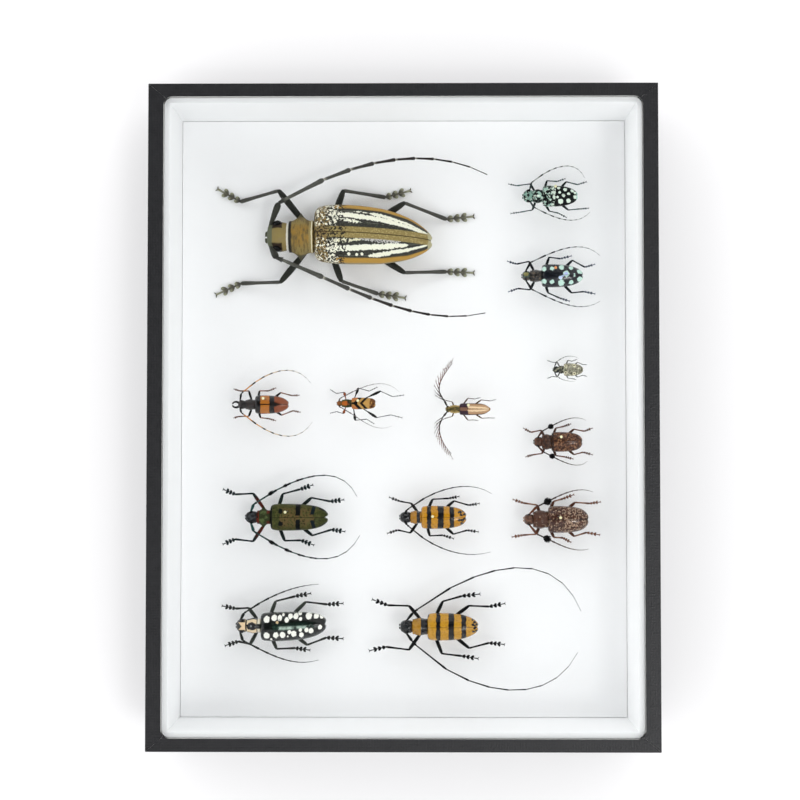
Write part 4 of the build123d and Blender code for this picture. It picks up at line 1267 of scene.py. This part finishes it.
def spots(middles, half, ragged):
    """Oval spots about their middles. A third number makes a spot larger or smaller."""
    def painted(paint):
        total = None
        for x, y, *own in middles:
            size = own[0] if own else 1.0
            oval_size = (half[0] * size, half[1] * size, 1.0)
            mask = paint.mask(spot_group, paint.place, (x, y, 0.0), oval_size, ragged)
            total = mask if total is None else maths(paint.tree, "MAXIMUM", total, mask)
        return total
    return painted


def outer(share, soft=0.03):
    """The flanks, beyond a share of the half width."""
    return lambda paint: smooth_step(paint.tree, paint.outward, share - soft, share + soft)


def inner(share, soft=0.03):
    """The middle of the back, within a share of the half width."""
    return lambda paint: smooth_step(paint.tree, paint.outward, share + soft, share - soft)


def near_middle(half, soft):
    """Within a distance from the middle line."""
    return lambda paint: smooth_step(paint.tree, paint.aside, half + soft, half - soft)


def slanted(paint, slope):
    """How far along a point is, with a slant on both sides of the middle line."""
    return maths(paint.tree, "ADD", paint.along, maths(paint.tree, "MULTIPLY", paint.aside, slope))


def after(slope, limit, soft):
    """Behind a slanted line."""
    return lambda paint: smooth_step(paint.tree, slanted(paint, slope), limit - soft, limit + soft)


def before(slope, limit, soft):
    """In front of a slanted line."""
    return lambda paint: smooth_step(paint.tree, slanted(paint, slope), limit + soft, limit - soft)


def suture(start, chart, half):
    """A row for the dark line where the wing cases meet."""
    return chart, near_middle(half, 0.1), band(start, 60, 0)


shells = {}


def paint_shell(name, ground, rows, gloss, **surface):
    """Paint one shell from its table of colours and marks."""
    paint = ShellPaint(name, ground)
    for chart, *marks in rows:
        paint.lay(chart, *[mark(paint) for mark in marks])
    shells[name] = paint.finish(gloss, **surface)
    print(name, "shell with", len(rows), "layers and", len(paint.tree.nodes), "nodes")


# %% [markdown]
# The large beetle is the most worked one. Its wing cases are tan and pitted at the base, then black
# with long ragged cream stripes, an olive-tan strip along the middle and ochre margins. The shield is
# golden with fine cross wrinkles, and a white ring lies in front of it.

# %% The striped shell
def wrinkles(paint):
    """Fine folds across the shield."""
    folds = noise_of(paint.tree, stretched(paint.tree, paint.where, (1100.0, 260.0, 260.0)), 1.0, 3.0)
    return smooth_step(paint.tree, folds, 0.46, 0.58)


cream_stripes = (
    (-10.5, 38.6, 0.63, 0.40, 0.085, 0.35), (-10.5, 27.5, -0.58, -0.38, 0.09, 0.5),
    (1.8, 8.8, 0.73, 0.71, 0.028, 0.8, 0.42), (9.4, 38.6, 0.70, 0.52, 0.06, 0.45),
    (8.8, 38.6, -0.76, -0.50, 0.07, 0.45), (-6.3, 5.8, 0.45, 0.35, 0.045, 1.1, 0.40))
cream_spots = ((-0.2, -9.9), (3.4, -10.0, 0.95), (5.9, -9.7, 0.9), (-4.0, 9.6, 0.5))
middle_strip = (near_middle(2.6, 0.25), band(-14, 60, 3))
paint_shell("striped", "30312c", (
    ("46473c", speckle(1.6, 0.30)),
    # A painted reflection: a silvery patch where the lacquered wing case mirrors the light.
    ("bcbab6", stripe(4, 24, -0.15, -0.24, 0.09, 0.8), speckle(1.8, 0.62)),
    ("d5d2b4", stripe(-8, 5.5, -0.30, -0.24, 0.05, 1.2, 0.40)),
    *[("e9e9d6", stripe(*values)) for values in cream_stripes],
    ("e9e9d6", spots(cream_spots, (0.75, 0.7), 0.8)),
    ("887848", *middle_strip),
    ("a3935f", *middle_strip, speckle(1.3, 0.34, 0.08)),
    ("b0893c", outer(0.83), band(-7, 60, 2)),
    ("8d8468", outer(0.975, 0.015)),
    ("857045", band(-20, -10, 7)),
    ("26241e", band(-20, -2, 8), speckle(1.15, 0.46)),
    ("ebe9d5", band(-16, -5, 4), outer(0.22), speckle(0.9, 0.38)),
    ("a7a17d", band(36.6, 60, 1)),
    suture(-16, "3b2d1a", 0.2),
    ("857545", band(-60, -17.1, 0.2)),
    ("8d6e30", band(-27.5, -17.1, 0.2), inner(0.62, 0.3), speckle(0.35, 0.75, 0.2)),
    ("695833", band(-27.5, -17.6, 0.2), wrinkles),
    ("4c4836", band(-27.5, -17.6, 0.2), outer(1.02, 0.05)),
    ("8c7b4c", band(-19, -17)),
    ("d8d0b0", band(-17.9, -17.4)),
    ("83734a", band(-60, -29.4, 0.2), speckle(0.55, 0.40, 0.12)),
    ("26241e", band(-28.6, -27.2)),
    ("f1efe6", band(-29.6, -28.6, 0.3)),
    ("2a1d12", band(-36.4, -31.6, 0.8), outer(0.50, 0.06), speckle(0.3, 0.95, 0.1)),
    ("5b5f4a", band(-60, -36.2, 1)),
), (0.4, 0.6), pits=0.9, pit_depth=0.7, hair=0.25, strength=0.35, shine=0.2)

# %% [markdown]
# Two beetles carry pale spots on a black ground. The mint one is mottled all over in front, and the
# blue one has clear round spots in rows.

# %% The mint and the blue spotted shells
mint_spots = (
    (4.0, 1.2, 0.7), (5.7, -0.2, 0.9), (6.6, 2.6), (8.2, 0.6, 0.85), (9.9, 2.1, 0.9), (4.4, -2.9, 1.25),
    (8.2, -2.6, 1.15), (3.6, 3.4, 0.8), (11.4, -0.7, 1.1), (3.0, -1.0, 0.7), (11.2, 1.2, 0.7))
paint_shell("mint", "0d1112", (
    ("9dbcae", band(-30, 1.5, 1.5), speckle(0.6, 0.40)),
    ("d3e2d4", band(-30, 0.5, 1.5), speckle(0.8, 0.27)),
    ("7b9c8f", band(-30, -8.4, 0.8), speckle(0.7, 0.50)),
    ("101413", band(-30, -8.4, 0.8), speckle(1.1, 0.24)),
    ("cddccd", band(0.2, 2, 1.2), speckle(0.6, 0.55)),
    ("d8e6d8", spots(mint_spots, (0.92, 0.85), 1)),
    ("9cc6bd", band(11.9, 30, 1)),
    suture(-3.5, "10100f", 0.1),
), (0.30, 0.5), pits=2.5, strength=0.2)

blue_spots = (
    (-4.2, 2.9), (-4.2, -2.9), (-0.5, 3.0, 0.95), (-0.6, -3.1, 0.9), (4.0, 3.7, 1.05), (3.7, -3.5, 1.25),
    (8.4, 3.5, 0.9), (8.4, -3.2, 0.9), (6.0, 0.6, 1.35), (3.4, -1.2, 0.8), (9.9, 0.5, 0.35),
    (9.9, -0.4, 0.35), (12.6, 1.9, 1.2), (12.6, -1.9, 1.2))
# The lilac patches over three of the spots are painted reflections of the light on the gloss.
lilac_highlight_spots = ((6.0, 0.6, 0.9), (3.4, -1.2, 0.7), (4.6, -0.4, 0.5))
paint_shell("blue_spotted", "0a0f17", (
    ("1a1714", band(-30, -5.4, 0.2)),
    ("55493a", band(-30, -5.6, 0.4), speckle(0.8, 0.35, 0.08)),
    ("3d5148", band(-30, -10.8, 0.4), speckle(0.6, 0.5, 0.1)),
    ("77723a", spots(((-12.5, 0.6),), (1.2, 0.9), 0.8)),
    ("bfdfd2", spots(blue_spots, (1.15, 1.1), 1.1)),
    ("b3bfe6", spots(lilac_highlight_spots, (1.1, 0.95), 1.8)),
    suture(-5.4, "0a0d10", 0.1),
), (0.16, 0.34), pits=2.2, strength=0.2, coat=1.0)

# %% [markdown]
# Three brown beetles are covered in fine hair of two tones. Speckle in two grain sizes over the
# ground gives that, and the glossy rub marks of old specimens come from the uneven roughness.

# %% The speckled, red tufted and brown tufted shells
ring_places = ((-1.2, 1.6), (2.6, 1.9), (-1.2, -1.6), (2.7, -1.9))
paint_shell("speckled", "9f9a8a", (
    ("63644f", speckle(1.5, 0.45, 0.06)),
    ("cdccb2", speckle(1.1, 0.30, 0.05)),
    ("3c3d31", speckle(1.3, 0.30, 0.05), inner(0.85)),
    ("ece6c4", spots(ring_places, (0.75, 0.70), 0.4)),
    ("11100c", spots(ring_places, (0.40, 0.38), 0.3)),
    ("2e312f", band(-9, -2.2, 0.3), speckle(0.9, 0.55, 0.06)),
    suture(-2, "4c4d3e", 0.06),
), (0.5, 0.7), pits=3.0, hair=0.8)

paint_shell("red_tufted", "603d28", (
    ("2f1a10", speckle(1.1, 0.50, 0.05)),
    ("8b6346", speckle(1, 0.28, 0.05)),
    ("342118", band(-20, -3.2, 0.3), speckle(1, 0.55, 0.1)),
    ("5a3726", band(-20, -7.4, 0.3), speckle(0.9, 0.45, 0.1)),
    ("24120b", band(-3, -2.3)),
    suture(-3, "2a150c", 0.1),
), (0.26, 0.5), pit_depth=0.9, hair=0.4, strength=0.5, coat=0.5)

paint_shell("brown_tufted", "4a2c20", (
    ("27130c", speckle(0.75, 0.42, 0.05)),
    ("a2866e", speckle(1.35, 0.38, 0.04)),
    ("46281a", band(-30, -4.2, 0.4), speckle(0.8, 0.72, 0.1)),
    ("3a2018", band(-3.6, 3, 2.5), speckle(0.7, 0.45, 0.05)),
    ("63402c", band(-30, -11.4)),
    ("3e2417", band(-30, -11.4), speckle(0.9, 0.40, 0.08)),
    suture(-4, "24120b", 0.12),
), (0.22, 0.46), pits=1.3, pit_depth=1.0, hair=0.4, strength=0.5, coat=0.7)

# %% [markdown]
# The small slender ones: one is black, amber and red-brown in blocks, one has two forward-pointing
# chevrons, and one is pale gold with a dark outline and a plum base. A chevron lies between two
# slanted lines.

# %% The orange and black, golden and feather-horned shells
paint_shell("orange_black", "100f0f", (
    ("a5631f", band(-1.2, 2.9, 0.9), outer(0.06)),
    ("8a3a18", band(-1, 1, 0.8), outer(0.93, 0.04)),
    ("7b3a18", band(5.2, 30)),
    ("2e1b14", band(-30, -3.6, 0.3), speckle(0.7, 0.34, 0.1)),
    ("0f0b09", band(5, 30), before(2.6, 8.4, 1.4)),
    suture(-3.5, "0c0a0a", 0.1),
), (0.12, 0.3), pits=1.3, pit_depth=0.8, hair=0.2, coat=1.0)

chevron_slope = -0.95
paint_shell("golden", "b98f4c", (
    ("a8854c", speckle(1.6, 0.35, 0.1)),
    ("b2703e", band(-2.2, 1.2, 0.3), outer(0.3, 0.1)),
    *[("17120d", after(chevron_slope, start, 0.08), before(chevron_slope, end, 0.08), band(-2.2, 6, 0))
      for start, end in ((-1.5, 0.2), (1.6, 3.0))],
    ("15110c", band(-2.2, 0.6, 0.2), inner(0.2, 0.06)),
    ("6e4526", band(6.2, 12, 1), speckle(0.8, 0.66, 0.06)),
    ("3a2413", band(6.8, 12, 1), speckle(0.8, 0.3, 0.06)),
    ("4a4a28", band(-12, -2.2, 0.1)),
    ("a85a22", spots(((-5.0, 0.0),), (1.9, 1.1), 0.6)),
    ("2b2c20", band(-4.2, -2.2, 0.2), speckle(1, 0.6, 0.1)),
    ("7a4a24", band(-12, -7.2, 0.2)),
), (0.35, 0.55), pits=2.5, hair=0.6, strength=0.2)

paint_shell("feather_horned", "b28e6b", (
    # The two pale stripes along the crests of the wing cases are painted highlights.
    ("e6cba6", stripe(-1, 10.4, 0.32, 0.2, 0.16, 0.3)),
    ("e2c6a2", stripe(-1, 10.4, -0.32, -0.2, 0.16, 0.3)),
    ("4a2e1c", outer(0.84, 0.08)),
    ("8b6a34", band(9.6, 12, 0.3)),
    ("33222c", band(-5, -0.2, 1.6)),
    ("7a5a48", band(-4.2, -0.4, 0.3), inner(0.28, 0.1)),
    ("453f22", band(-14, -4.1, 0.2)),
    ("b39a5a", band(-9.2, -4.1, 0.2), outer(0.62, 0.15)),
    ("8b7442", band(-14, -4.4, 0.2), speckle(1.2, 0.4, 0.1)),
    suture(-4, "6b4a34", 0.08),
), (0.22, 0.42), pits=2.5, pit_depth=0.3, hair=0.4, strength=0.15, coat=0.25)

# %% [markdown]
# The olive beetle has three rows of blue-black marks on a green shell that is browner in the middle,
# and its shield is edged in red-brown.

# %% The olive shell
tail_slope = -0.25
paint_shell("olive", "383d1b", (
    ("5b4a2a", band(-3, 13, 3), inner(0.70, 0.3)),
    ("4c4b26", band(-6.5, 16, 3), speckle(0.7, 0.36, 0.12)),
    ("262a12", band(-6.5, 20), speckle(1.3, 0.30, 0.1)),
    ("050a0a", spots(((-2.7, 2.9), (-2.7, -2.9)), (1.1, 1.25), 1)),
    ("050a0c", outer(0.15), band(4.3, 6.4, 1.4)),
    ("08161d", after(tail_slope, 10.7, 0.15), before(tail_slope, 12.4, 0.15), outer(0.25, 0.04)),
    ("0b0d07", band(15, 30), outer(0.80, 0.06)),
    ("12130c", band(-7.9, -6.6, 0.2)),
    ("12130c", band(-7.9, -6, 0.4), outer(0.9, 0.04)),
    ("2e3319", band(-30, -7.7, 0.1)),
    ("4c5a32", spots(((-10.8, 0.0),), (2.0, 3.2), 0.8)),
    ("2b3018", band(-14, -7.7, 0.3), speckle(0.6, 0.42, 0.1)),
    ("571d10", band(-9.2, -7.9, 0.3), outer(0.55, 0.1)),
    ("571d10", band(-14.2, -12.8)),
    ("1c130c", band(-13.8, -13.2, 0.3), speckle(0.8, 0.5)),
    ("191a1b", band(-30, -14.1, 0.3)),
    ("3b3e40", band(-30, -14.1, 0.3), speckle(0.8, 0.42, 0.1)),
    suture(-7.5, "14150b", 0.1),
), (0.28, 0.48), pits=2.0, pit_depth=0.8, strength=0.35)

# %% [markdown]
# Two beetles wear amber and black bands. One function writes the table of both from a list of where
# the amber bands start and end. The amber is laid and speckled first, and the bluish black between
# the bands is laid over it, so that the black stays clean.

# %% The two banded shells
def banded_shell(name, amber, disc_colour, bands, disc, head_end, tail_start, blots):
    """Amber bands on blue-black, a disc on the shield and black blots on the amber tail."""
    black, start = "07080c", bands[0][0]
    starts = [pair[0] for pair in bands[1:]] + [tail_start]
    gaps = zip([pair[1] for pair in bands], starts)
    paint_shell(name, black, (
        *[(amber, band(*pair, 1.3)) for pair in (*bands, (tail_start, 40))],
        ("99690f", band(start, 40, 0.2), speckle(1.5, 0.30, 0.15)),
        *[(black, band(*gap, 1.3)) for gap in gaps],
        ("0a0908", spots(blots, (0.8, 0.62), 1.8)),
        ("0a0a0c", band(start - 0.5, start + 0.8, 0.4), outer(0.8, 0.06)),
        (disc_colour, band(*disc, 0.4), inner(0.97)),
        ("8f6214", band(*disc, 0.4), speckle(1.2, 0.30, 0.12)),
        ("24282a", band(-40, head_end, 0.3), speckle(1, 0.32, 0.1)),
        suture(start, "2c1a0a", 0.08),
    ), (0.14, 0.34), pits=2.2, pit_depth=0.6, hair=0.4, strength=0.25, coat=0.9)


banded_shell(
    "gold_banded", "ba8219", "a27018", ((-6.1, -2.9), (-0.9, 2.1), (4.8, 7.6), (9.6, 11.9)),
    (-10.6, -7.7), -10.8, 11.7,
    ((12.3, 2.6, 1.2), (12.9, 1.2), (14.4, 1.4), (12.2, -1.1), (13.4, -1.2, 1.2), (13.2, -2.8),
     (14.8, -0.5, 0.9), (14.0, 3.0, 0.8)))
banded_shell(
    "banded", "bd8c28", "a47822", ((-5.5, -1.5), (0.4, 4.2), (6.8, 10.2), (12.4, 15.0)),
    (-12.7, -8.6), -12.8, 14.8,
    ((15.6, 1.2), (16.4, 2.4), (16.6, -0.2, 1.1), (15.8, -1.8), (17.2, -1.5), (17.3, 1.2, 0.9),
     (15.5, 3.4, 0.8)))

# %% [markdown]
# The last one is glossy black-green with ivory spots on both sides and a smooth bare strip along
# the middle. Its head and shield are ivory with black marks.

# %% The white spotted shell
def painted_highlight_streak(paint):
    """A narrow painted highlight beside the middle line."""
    aside = maths(paint.tree, "ABSOLUTE", maths(paint.tree, "ADD", paint.across, 0.05))
    return smooth_step(paint.tree, aside, 0.17, 0.03)


def cheeks(paint):
    """The sides of the head."""
    return smooth_step(paint.tree, paint.aside, 1.65, 1.85)


ivory_spots = (
    (-6.6, 3.8, 1.2), (-3.1, 4.4, 1.1), (-0.5, 4.4), (1.1, 5.7, 0.5), (2.7, 3.4, 0.9), (4.4, 4.9, 0.95),
    (6.9, 4.8, 1.05), (8.8, 6.2, 0.85), (9.1, 3.5, 0.65), (12.9, 4.6, 1.25), (16.3, 4.4, 1.05),
    (18.9, 3.9, 0.85), (20.4, 3.2, 0.55), (-6.6, -3.6, 1.2), (-2.3, -3.5, 1.1), (0.8, -3.5, 1.15),
    (4.0, -2.3, 0.8), (6.0, -3.2, 1.1), (9.1, -1.5, 0.7), (9.5, -3.9, 0.95), (11.9, -1.7, 0.85),
    (14.0, -2.3), (18.1, -1.0, 0.85), (3.2, -4.3, 0.35), (-4.5, -5.5, 0.45))
paint_shell("white_spotted", "070c09", (
    ("1c332a", band(-4, 15, 3), inner(0.22, 0.2), speckle(0.3, 0.72, 0.4)),
    # A painted highlight: a pale streak on the glossy green strip.
    ("b2c6b8", band(-1, 13, 3), painted_highlight_streak, speckle(0.45, 0.6, 0.2)),
    ("f2f1e8", spots(ivory_spots, (1.13, 1.31), 0.6)),
    ("8f9687", outer(0.93), speckle(1.2, 0.4)),
    ("121512", band(-12, -9, 0.1)),
    ("e6ddc4", band(-11, -9.7, 0.1), outer(0.35, 0.04)),
    ("e3cda8", band(-16.2, -11.4, 0.1)),
    ("0c0d0e", spots(((-13.6, 0.0),), (2.5, 1.9), 0.5)),
    ("7f8482", spots(((-13.9, 0.2),), (0.5, 0.4), 0.5)),
    ("1c1d1b", band(-16.4, -11.4, 0.1), outer(0.86, 0.04)),
    ("1c1d1b", band(-16.8, -16.1, 0.2)),
    ("e0c49d", band(-30, -16.7, 0.2)),
    ("1f211e", band(-30, -16.9, 0.2), cheeks),
    ("2b2d2a", before(0.9, -18.3, 0.15)),
), (0.12, 0.32), pits=2.2, pit_depth=0.3, hair=0.2, strength=0.12, coat=1.0)

# %% [markdown]
# Limbs carry a note too: how far along the limb a point is, how far along its own joint, and whether
# it is a leg, front thigh, foot, antenna, hair or jaw. A colour ramp on the first colours legs and
# antennae from root to tip. The second lets each joint start pale and end dark, as many antennae do.
# The third picks which of the colours shows.

# %% Painting limbs
def ramp(tree, value, stops):
    """One chart colour, or a ramp of them from text such as '0 23241f, 1 5b5648'."""
    if " " not in stops:
        return tint(stops)
    made = add_node(tree, "ValToRGB", {"Fac": value})
    elements = made.color_ramp.elements
    elements.remove(elements[1])
    for index, stop in enumerate(stops.split(", ")):
        position, chart = stop.split()
        element = elements.new(float(position)) if index else elements[0]
        element.position, element.color = float(position), tint(chart)
    return made.outputs["Color"]


limb_paints = {}


def paint_limbs(
        name, legs, antennae, pale="", pale_share=0.0, feet="", hair="050506", jaw="0c0a09",
        gloss=(0.3, 0.5), front=""):
    """Make the material of one beetle's legs, antennae, hair and jaws."""
    material, tree, shader = new_material(f"{name}_limb_paint")
    note = add_node(tree, "Attribute", attribute_name="limb").outputs["Vector"]
    along, local, kind = parts_of(tree, note)

    def is_kind(number):
        return add_node(tree, "Math", {0: kind, 1: number, 2: 0.4}, operation="COMPARE").outputs[0]

    colour = ramp(tree, along, legs)
    if front:
        colour = mix_colour(tree, is_kind(front_kind), colour, ramp(tree, along, front))
    if feet:
        edge = smooth_step(tree, local, 0.25, 0.75)
        colour = mix_colour(tree, maths(tree, "MULTIPLY", is_kind(pad_kind), edge), colour, tint(feet))
    whip_colour = ramp(tree, along, antennae)
    if pale:
        start = smooth_step(tree, local, pale_share + 0.12, pale_share - 0.12)
        beyond_first = smooth_step(tree, along, 0.12, 0.2)
        share = maths(tree, "MULTIPLY", start, beyond_first)
        whip_colour = mix_colour(tree, share, whip_colour, ramp(tree, along, pale))
    colour = mix_colour(tree, is_kind(antenna_kind), colour, whip_colour)
    colour = mix_colour(tree, is_kind(hair_kind), colour, ramp(tree, along, hair))
    colour = mix_colour(tree, is_kind(jaw_kind), colour, tint(jaw))
    outputs = place_group(tree, surface_group, {
        "Place": object_place(tree), "Pits per mm": 3.0, "Pit depth": 0.4, "Hair": 0.6})
    mottle = maths(tree, "ADD", maths(tree, "MULTIPLY", outputs["Tone"], 0.5), 0.72)
    shade = add_node(tree, "CombineColor", {0: mottle, 1: mottle, 2: mottle}).outputs[0]
    fill_sockets(tree, shader, {
        "Base Color": mix_colour(tree, 1.0, colour, shade, "MULTIPLY"),
        "Roughness": spread(tree, outputs["Tone"], *gloss),
        "Normal": bump(tree, outputs["Height"], 0.25, 0.05), "Specular IOR Level": 0.12})
    limb_paints[name] = material


print("limb paint ready")

# %% [markdown]
# The limbs of each beetle are then one call: the legs, the antennae, and what else differs from the
# usual. A ramp is written as text, with the place of each colour before it. Two of the beetles
# have the same plain black legs.

# %% The colours of the limbs
plain_black = "0 08090a, 1 0d0e0f"
paint_limbs(
    "striped", "0 23241f, 0.4 2d2e2a, 0.42 4b4b46, 0.72 43433e, 1 5b5648",
    "0 3a3b34, 0.1 2a2a27, 0.14 4c4d47, 0.4 43433f, 0.6 2a2624, 1 1f1a18", "a5a296", 0.13, "8f9079",
    jaw="4b4c3a", gloss=(0.4, 0.6))
paint_limbs(
    "mint", "0 0f1414, 0.45 1c2726, 0.6 3f5551, 1 2b343a", "0 22302e, 0.5 17191a, 1 4a4d4b",
    "a7aba6", 0.42)
paint_limbs(
    "blue_spotted", "0 080b0e, 0.75 141c26, 1 3c4a68", "0 0c0f12, 0.5 101114, 1 3a3c3f",
    "9ba1a3", 0.36)
paint_limbs(
    "speckled", "0 2b2e2f, 0.5 62665f, 1 34383b", "0 2f3336, 1 6a6c6b", "b5b6ae", 0.4)
paint_limbs(
    "red_tufted", "0 2e1c14, 0.35 4d2f20, 0.6 6a4432, 0.75 452a1c, 1 5f3a2a",
    "0 4f2f22, 0.12 1a1210, 0.3 332e2b, 1 6a625c")
paint_limbs(
    "brown_tufted", "0 301c14, 0.4 5a3626, 0.55 8a6650, 0.62 543222, 0.75 643f2e, 1 6c422e",
    "0 6a3f2c, 0.1 44281a, 0.2 18110f, 0.35 463b35, 1 5f5349", jaw="9a6f4a")
paint_limbs(
    "orange_black", "0 070706, 0.38 0a0908, 0.46 8a4a22, 0.6 5a3a28, 0.8 5c3420, 1 4a2818",
    "0 090807, 0.6 0c0a09, 0.8 35322f, 1 6a6a68", "0 c8782e, 0.3 cf9048, 0.45 c4a67c, 1 b9b6b0", 0.5)
paint_limbs(
    "golden", "0 0f0d0b, 0.3 111112, 0.42 2d2f31, 0.75 5a5d5f, 1 54514f",
    "0 4f4339, 0.15 4a433f, 0.5 7b7876, 1 a5a2a0", jaw="6b4426",
    front="0 6a3416, 0.2 9a4a20, 0.4 5c4a3c")
paint_limbs(
    "feather_horned", "0 4a3018, 0.4 50382a, 0.8 5d5a59, 1 4a4644",
    "0 201510, 0.35 1c1310, 0.6 56362a, 1 7a7572", jaw="6b5428",
    hair="0 1e1512, 0.15 42211a, 0.45 74301f, 0.7 6a4238, 1 7c706a")
paint_limbs(
    "olive", "0 0b1211, 0.4 0f1c1c, 0.75 132021, 1 0c1214",
    "0 1c4441, 0.1 17302d, 0.35 14181a, 1 26282a", "2f4f4b", 0.3, "1d2a2b",
    front="0 5a1a0c, 0.17 4a160a, 0.26 10191a, 0.4 0f1c1c")
paint_limbs("gold_banded", plain_black, "0 0c1010, 0.5 131415, 1 3a3c3d")
paint_limbs(
    "white_spotted", "0 2a2e29, 0.4 3a3e38, 0.44 2a2c29, 1 222421", "0 1c1f1c, 0.5 232523, 1 303130",
    "5b5d59", 0.2, "191b19")
paint_limbs("banded", plain_black, "0 0c0f10, 0.5 111314, 1 232628")


def coat_piece(piece, material):
    """Give a piece its one material."""
    piece.data.materials.clear()
    piece.data.materials.append(material)


for name in bodies:
    coat_piece(bodies[name], shells[name])
    coat_piece(limbs[name], limb_paints[name])
print(len(limb_paints), "limb paints")

# %% [markdown]
# The pins are stainless wire with enamelled heads. One material serves wire and head: above a level
# the metal gives way to enamel. Three head colours were used, cream for most of them.

# %% Pin wire and heads
def pin_finish(name, enamel):
    """Polished wire below, and an enamelled head above."""
    material, tree, shader = new_material(f"pin_{name}")
    place = object_place(tree)
    head_foot = pin_top - head_height
    head_mask = smooth_step(tree, parts_of(tree, place)["Z"], (head_foot - 0.05) * mm, head_foot * mm)
    scratches = noise_of(tree, stretched(tree, place, (6000.0, 6000.0, 300.0)), 1.0, 3.0)
    steel = mix_colour(tree, scratches, tint("8f9093"), tint("c6c7c9"))
    wire_roughness = spread(tree, scratches, 0.15, 0.35)
    fill_sockets(tree, shader, {
        "Base Color": mix_colour(tree, head_mask, steel, tint(enamel)),
        "Metallic": maths(tree, "SUBTRACT", 1.0, head_mask),
        "Roughness": add_node(tree, "Mix", {0: head_mask, 2: wire_roughness, 3: 0.22}).outputs[0]})
    return material


head_charts = {"cream": "ece6b8", "orange": "d98a52", "tan": "cbb188"}
finishes = {name: pin_finish(name, chart) for name, chart in head_charts.items()}
head_colours = {"blue_spotted": "orange", "white_spotted": "tan"}
for name, piece in pins.items():
    coat_piece(piece, finishes[head_colours.get(name, "cream")])
print(len(finishes), "pin finishes")

# %% [markdown]
# The box stands on a plain white floor. For camera rays the floor mixes in some plain white, so that
# it reads as white paper and still keeps the soft shadow of the box. The object itself is lit only
# by the lamp, the sky and the light that comes back from the floor.

# %% Floor
floor_width, paper_glow, glow_share = 12.0, 1.5, 0.15
clear_selection()
bpy.ops.mesh.primitive_grid_add(x_subdivisions=4, y_subdivisions=4, size=floor_width, location=(0, 0, 0))
floor = bpy.context.object
floor.name = "studio_floor"
bpy.ops.object.transform_apply()
white_paper, tree, shader = new_material("floor_paper")
fill_sockets(tree, shader, {"Base Color": (0.86, 0.86, 0.86, 1), "Roughness": 0.9})
rays = add_node(tree, "LightPath").outputs
plain = add_node(tree, "Emission", {"Color": (1, 1, 1, 1), "Strength": paper_glow})
share = maths(tree, "MULTIPLY", rays["Is Camera Ray"], glow_share)
paper = add_node(tree, "MixShader", {0: share, 1: shader.outputs[0], 2: plain.outputs[0]})
tree.links.new(paper.outputs[0], tree.nodes["Material Output"].inputs["Surface"])
floor.data.materials.append(white_paper)
print("floor", floor.dimensions.x, "m wide")

# %% [markdown]
# The light comes softly from the lower right of the picture, from a square lamp half a metre wide,
# with a pale sky to fill the shadows. A pane of glass mirrors what stands straight above it. In the
# studio that was dark, so the sky fades out around the zenith, a little more towards the upper left,
# and the window shows no haze. Towards the upper left, across from the lamp, the sky is brighter,
# which evens out the light in the box. Mirrored in glass or lacquer it is darker than plain white,
# as the walls of a studio are.

# %% Lamp and sky
def link_new(name, data):
    """A new object of the scene."""
    made = bpy.data.objects.new(name, data)
    bpy.context.collection.objects.link(made)
    return made


lamp_place, lamp_width, lamp_watts = Vector((0.78, -0.66, 2.3)), 0.5, 7.3
lamp_data = bpy.data.lights.new("soft_lamp", "AREA")
lamp_data.shape, lamp_data.size, lamp_data.energy = "SQUARE", lamp_width, lamp_watts
lamp = link_new("soft_lamp", lamp_data)
lamp.location = lamp_place
lamp.rotation_euler = (-lamp_place).to_track_quat("-Z", "Y").to_euler()

dark_centre, dark_from, dark_to = (-0.10, 0.12, 0.988), 0.855, 0.93
brighter_side, sky_strength, mirror_loss = (-0.24, 0.20, 0), 1.59, 0.45
sky = bpy.data.worlds.new("pale_sky")
bpy.context.scene.world = sky
sky.use_nodes = True
tree = sky.node_tree
tree.nodes.clear()
direction = add_node(tree, "TexCoord").outputs["Generated"]
height = vector_maths(tree, "DOT_PRODUCT", direction, dark_centre)["Value"]
low_sky = add_node(tree, "MapRange", {
    "Value": height, "From Min": dark_from, "From Max": dark_to, "To Min": 1.0, "To Max": 0.02},
    interpolation_type="SMOOTHSTEP").outputs[0]
upper_left = vector_maths(tree, "DOT_PRODUCT", direction, brighter_side)["Value"]
brightness = maths(tree, "ADD", upper_left, sky_strength)
rays = add_node(tree, "LightPath").outputs
mirrored = maths(tree, "SUBTRACT", 1.0, maths(tree, "MULTIPLY", rays["Is Glossy Ray"], mirror_loss))
strength = maths(tree, "MULTIPLY", low_sky, maths(tree, "MULTIPLY", brightness, mirrored))
sky_light = add_node(tree, "Background", {"Color": (0.99, 0.985, 1.0, 1), "Strength": strength})
backdrop = add_node(tree, "Background", {"Color": (1, 1, 1, 1), "Strength": 1.0})
both = add_node(tree, "MixShader", {
    0: rays["Is Camera Ray"], 1: sky_light.outputs[0], 2: backdrop.outputs[0]})
tree.links.new(both.outputs[0], add_node(tree, "OutputWorld").inputs["Surface"])
print("lamp and sky")

# %% [markdown]
# The camera looks straight down into the box from three quarters of a metre, as the photograph
# does, a little off the middle.

# %% Camera
camera_place = Vector((0.005, -0.016, 0.753))
camera_aim = Vector((-0.0013, 0.0069, 0.054))
camera_data = bpy.data.cameras.new("camera")
camera_data.lens, camera_data.sensor_width = 70.2, 36.0
camera = link_new("camera", camera_data)
backward = (camera_place - camera_aim).normalized()
right = Vector((0, 1, 0)).cross(backward).normalized()
upward = backward.cross(right)
turned = Matrix((right, upward, backward)).transposed().to_4x4()
camera.matrix_world = Matrix.Translation(camera_place) @ turned
bpy.context.scene.camera = camera
bpy.context.scene.view_settings.view_transform = "Standard"
print("camera looks along", [round(value, 3) for value in -backward])
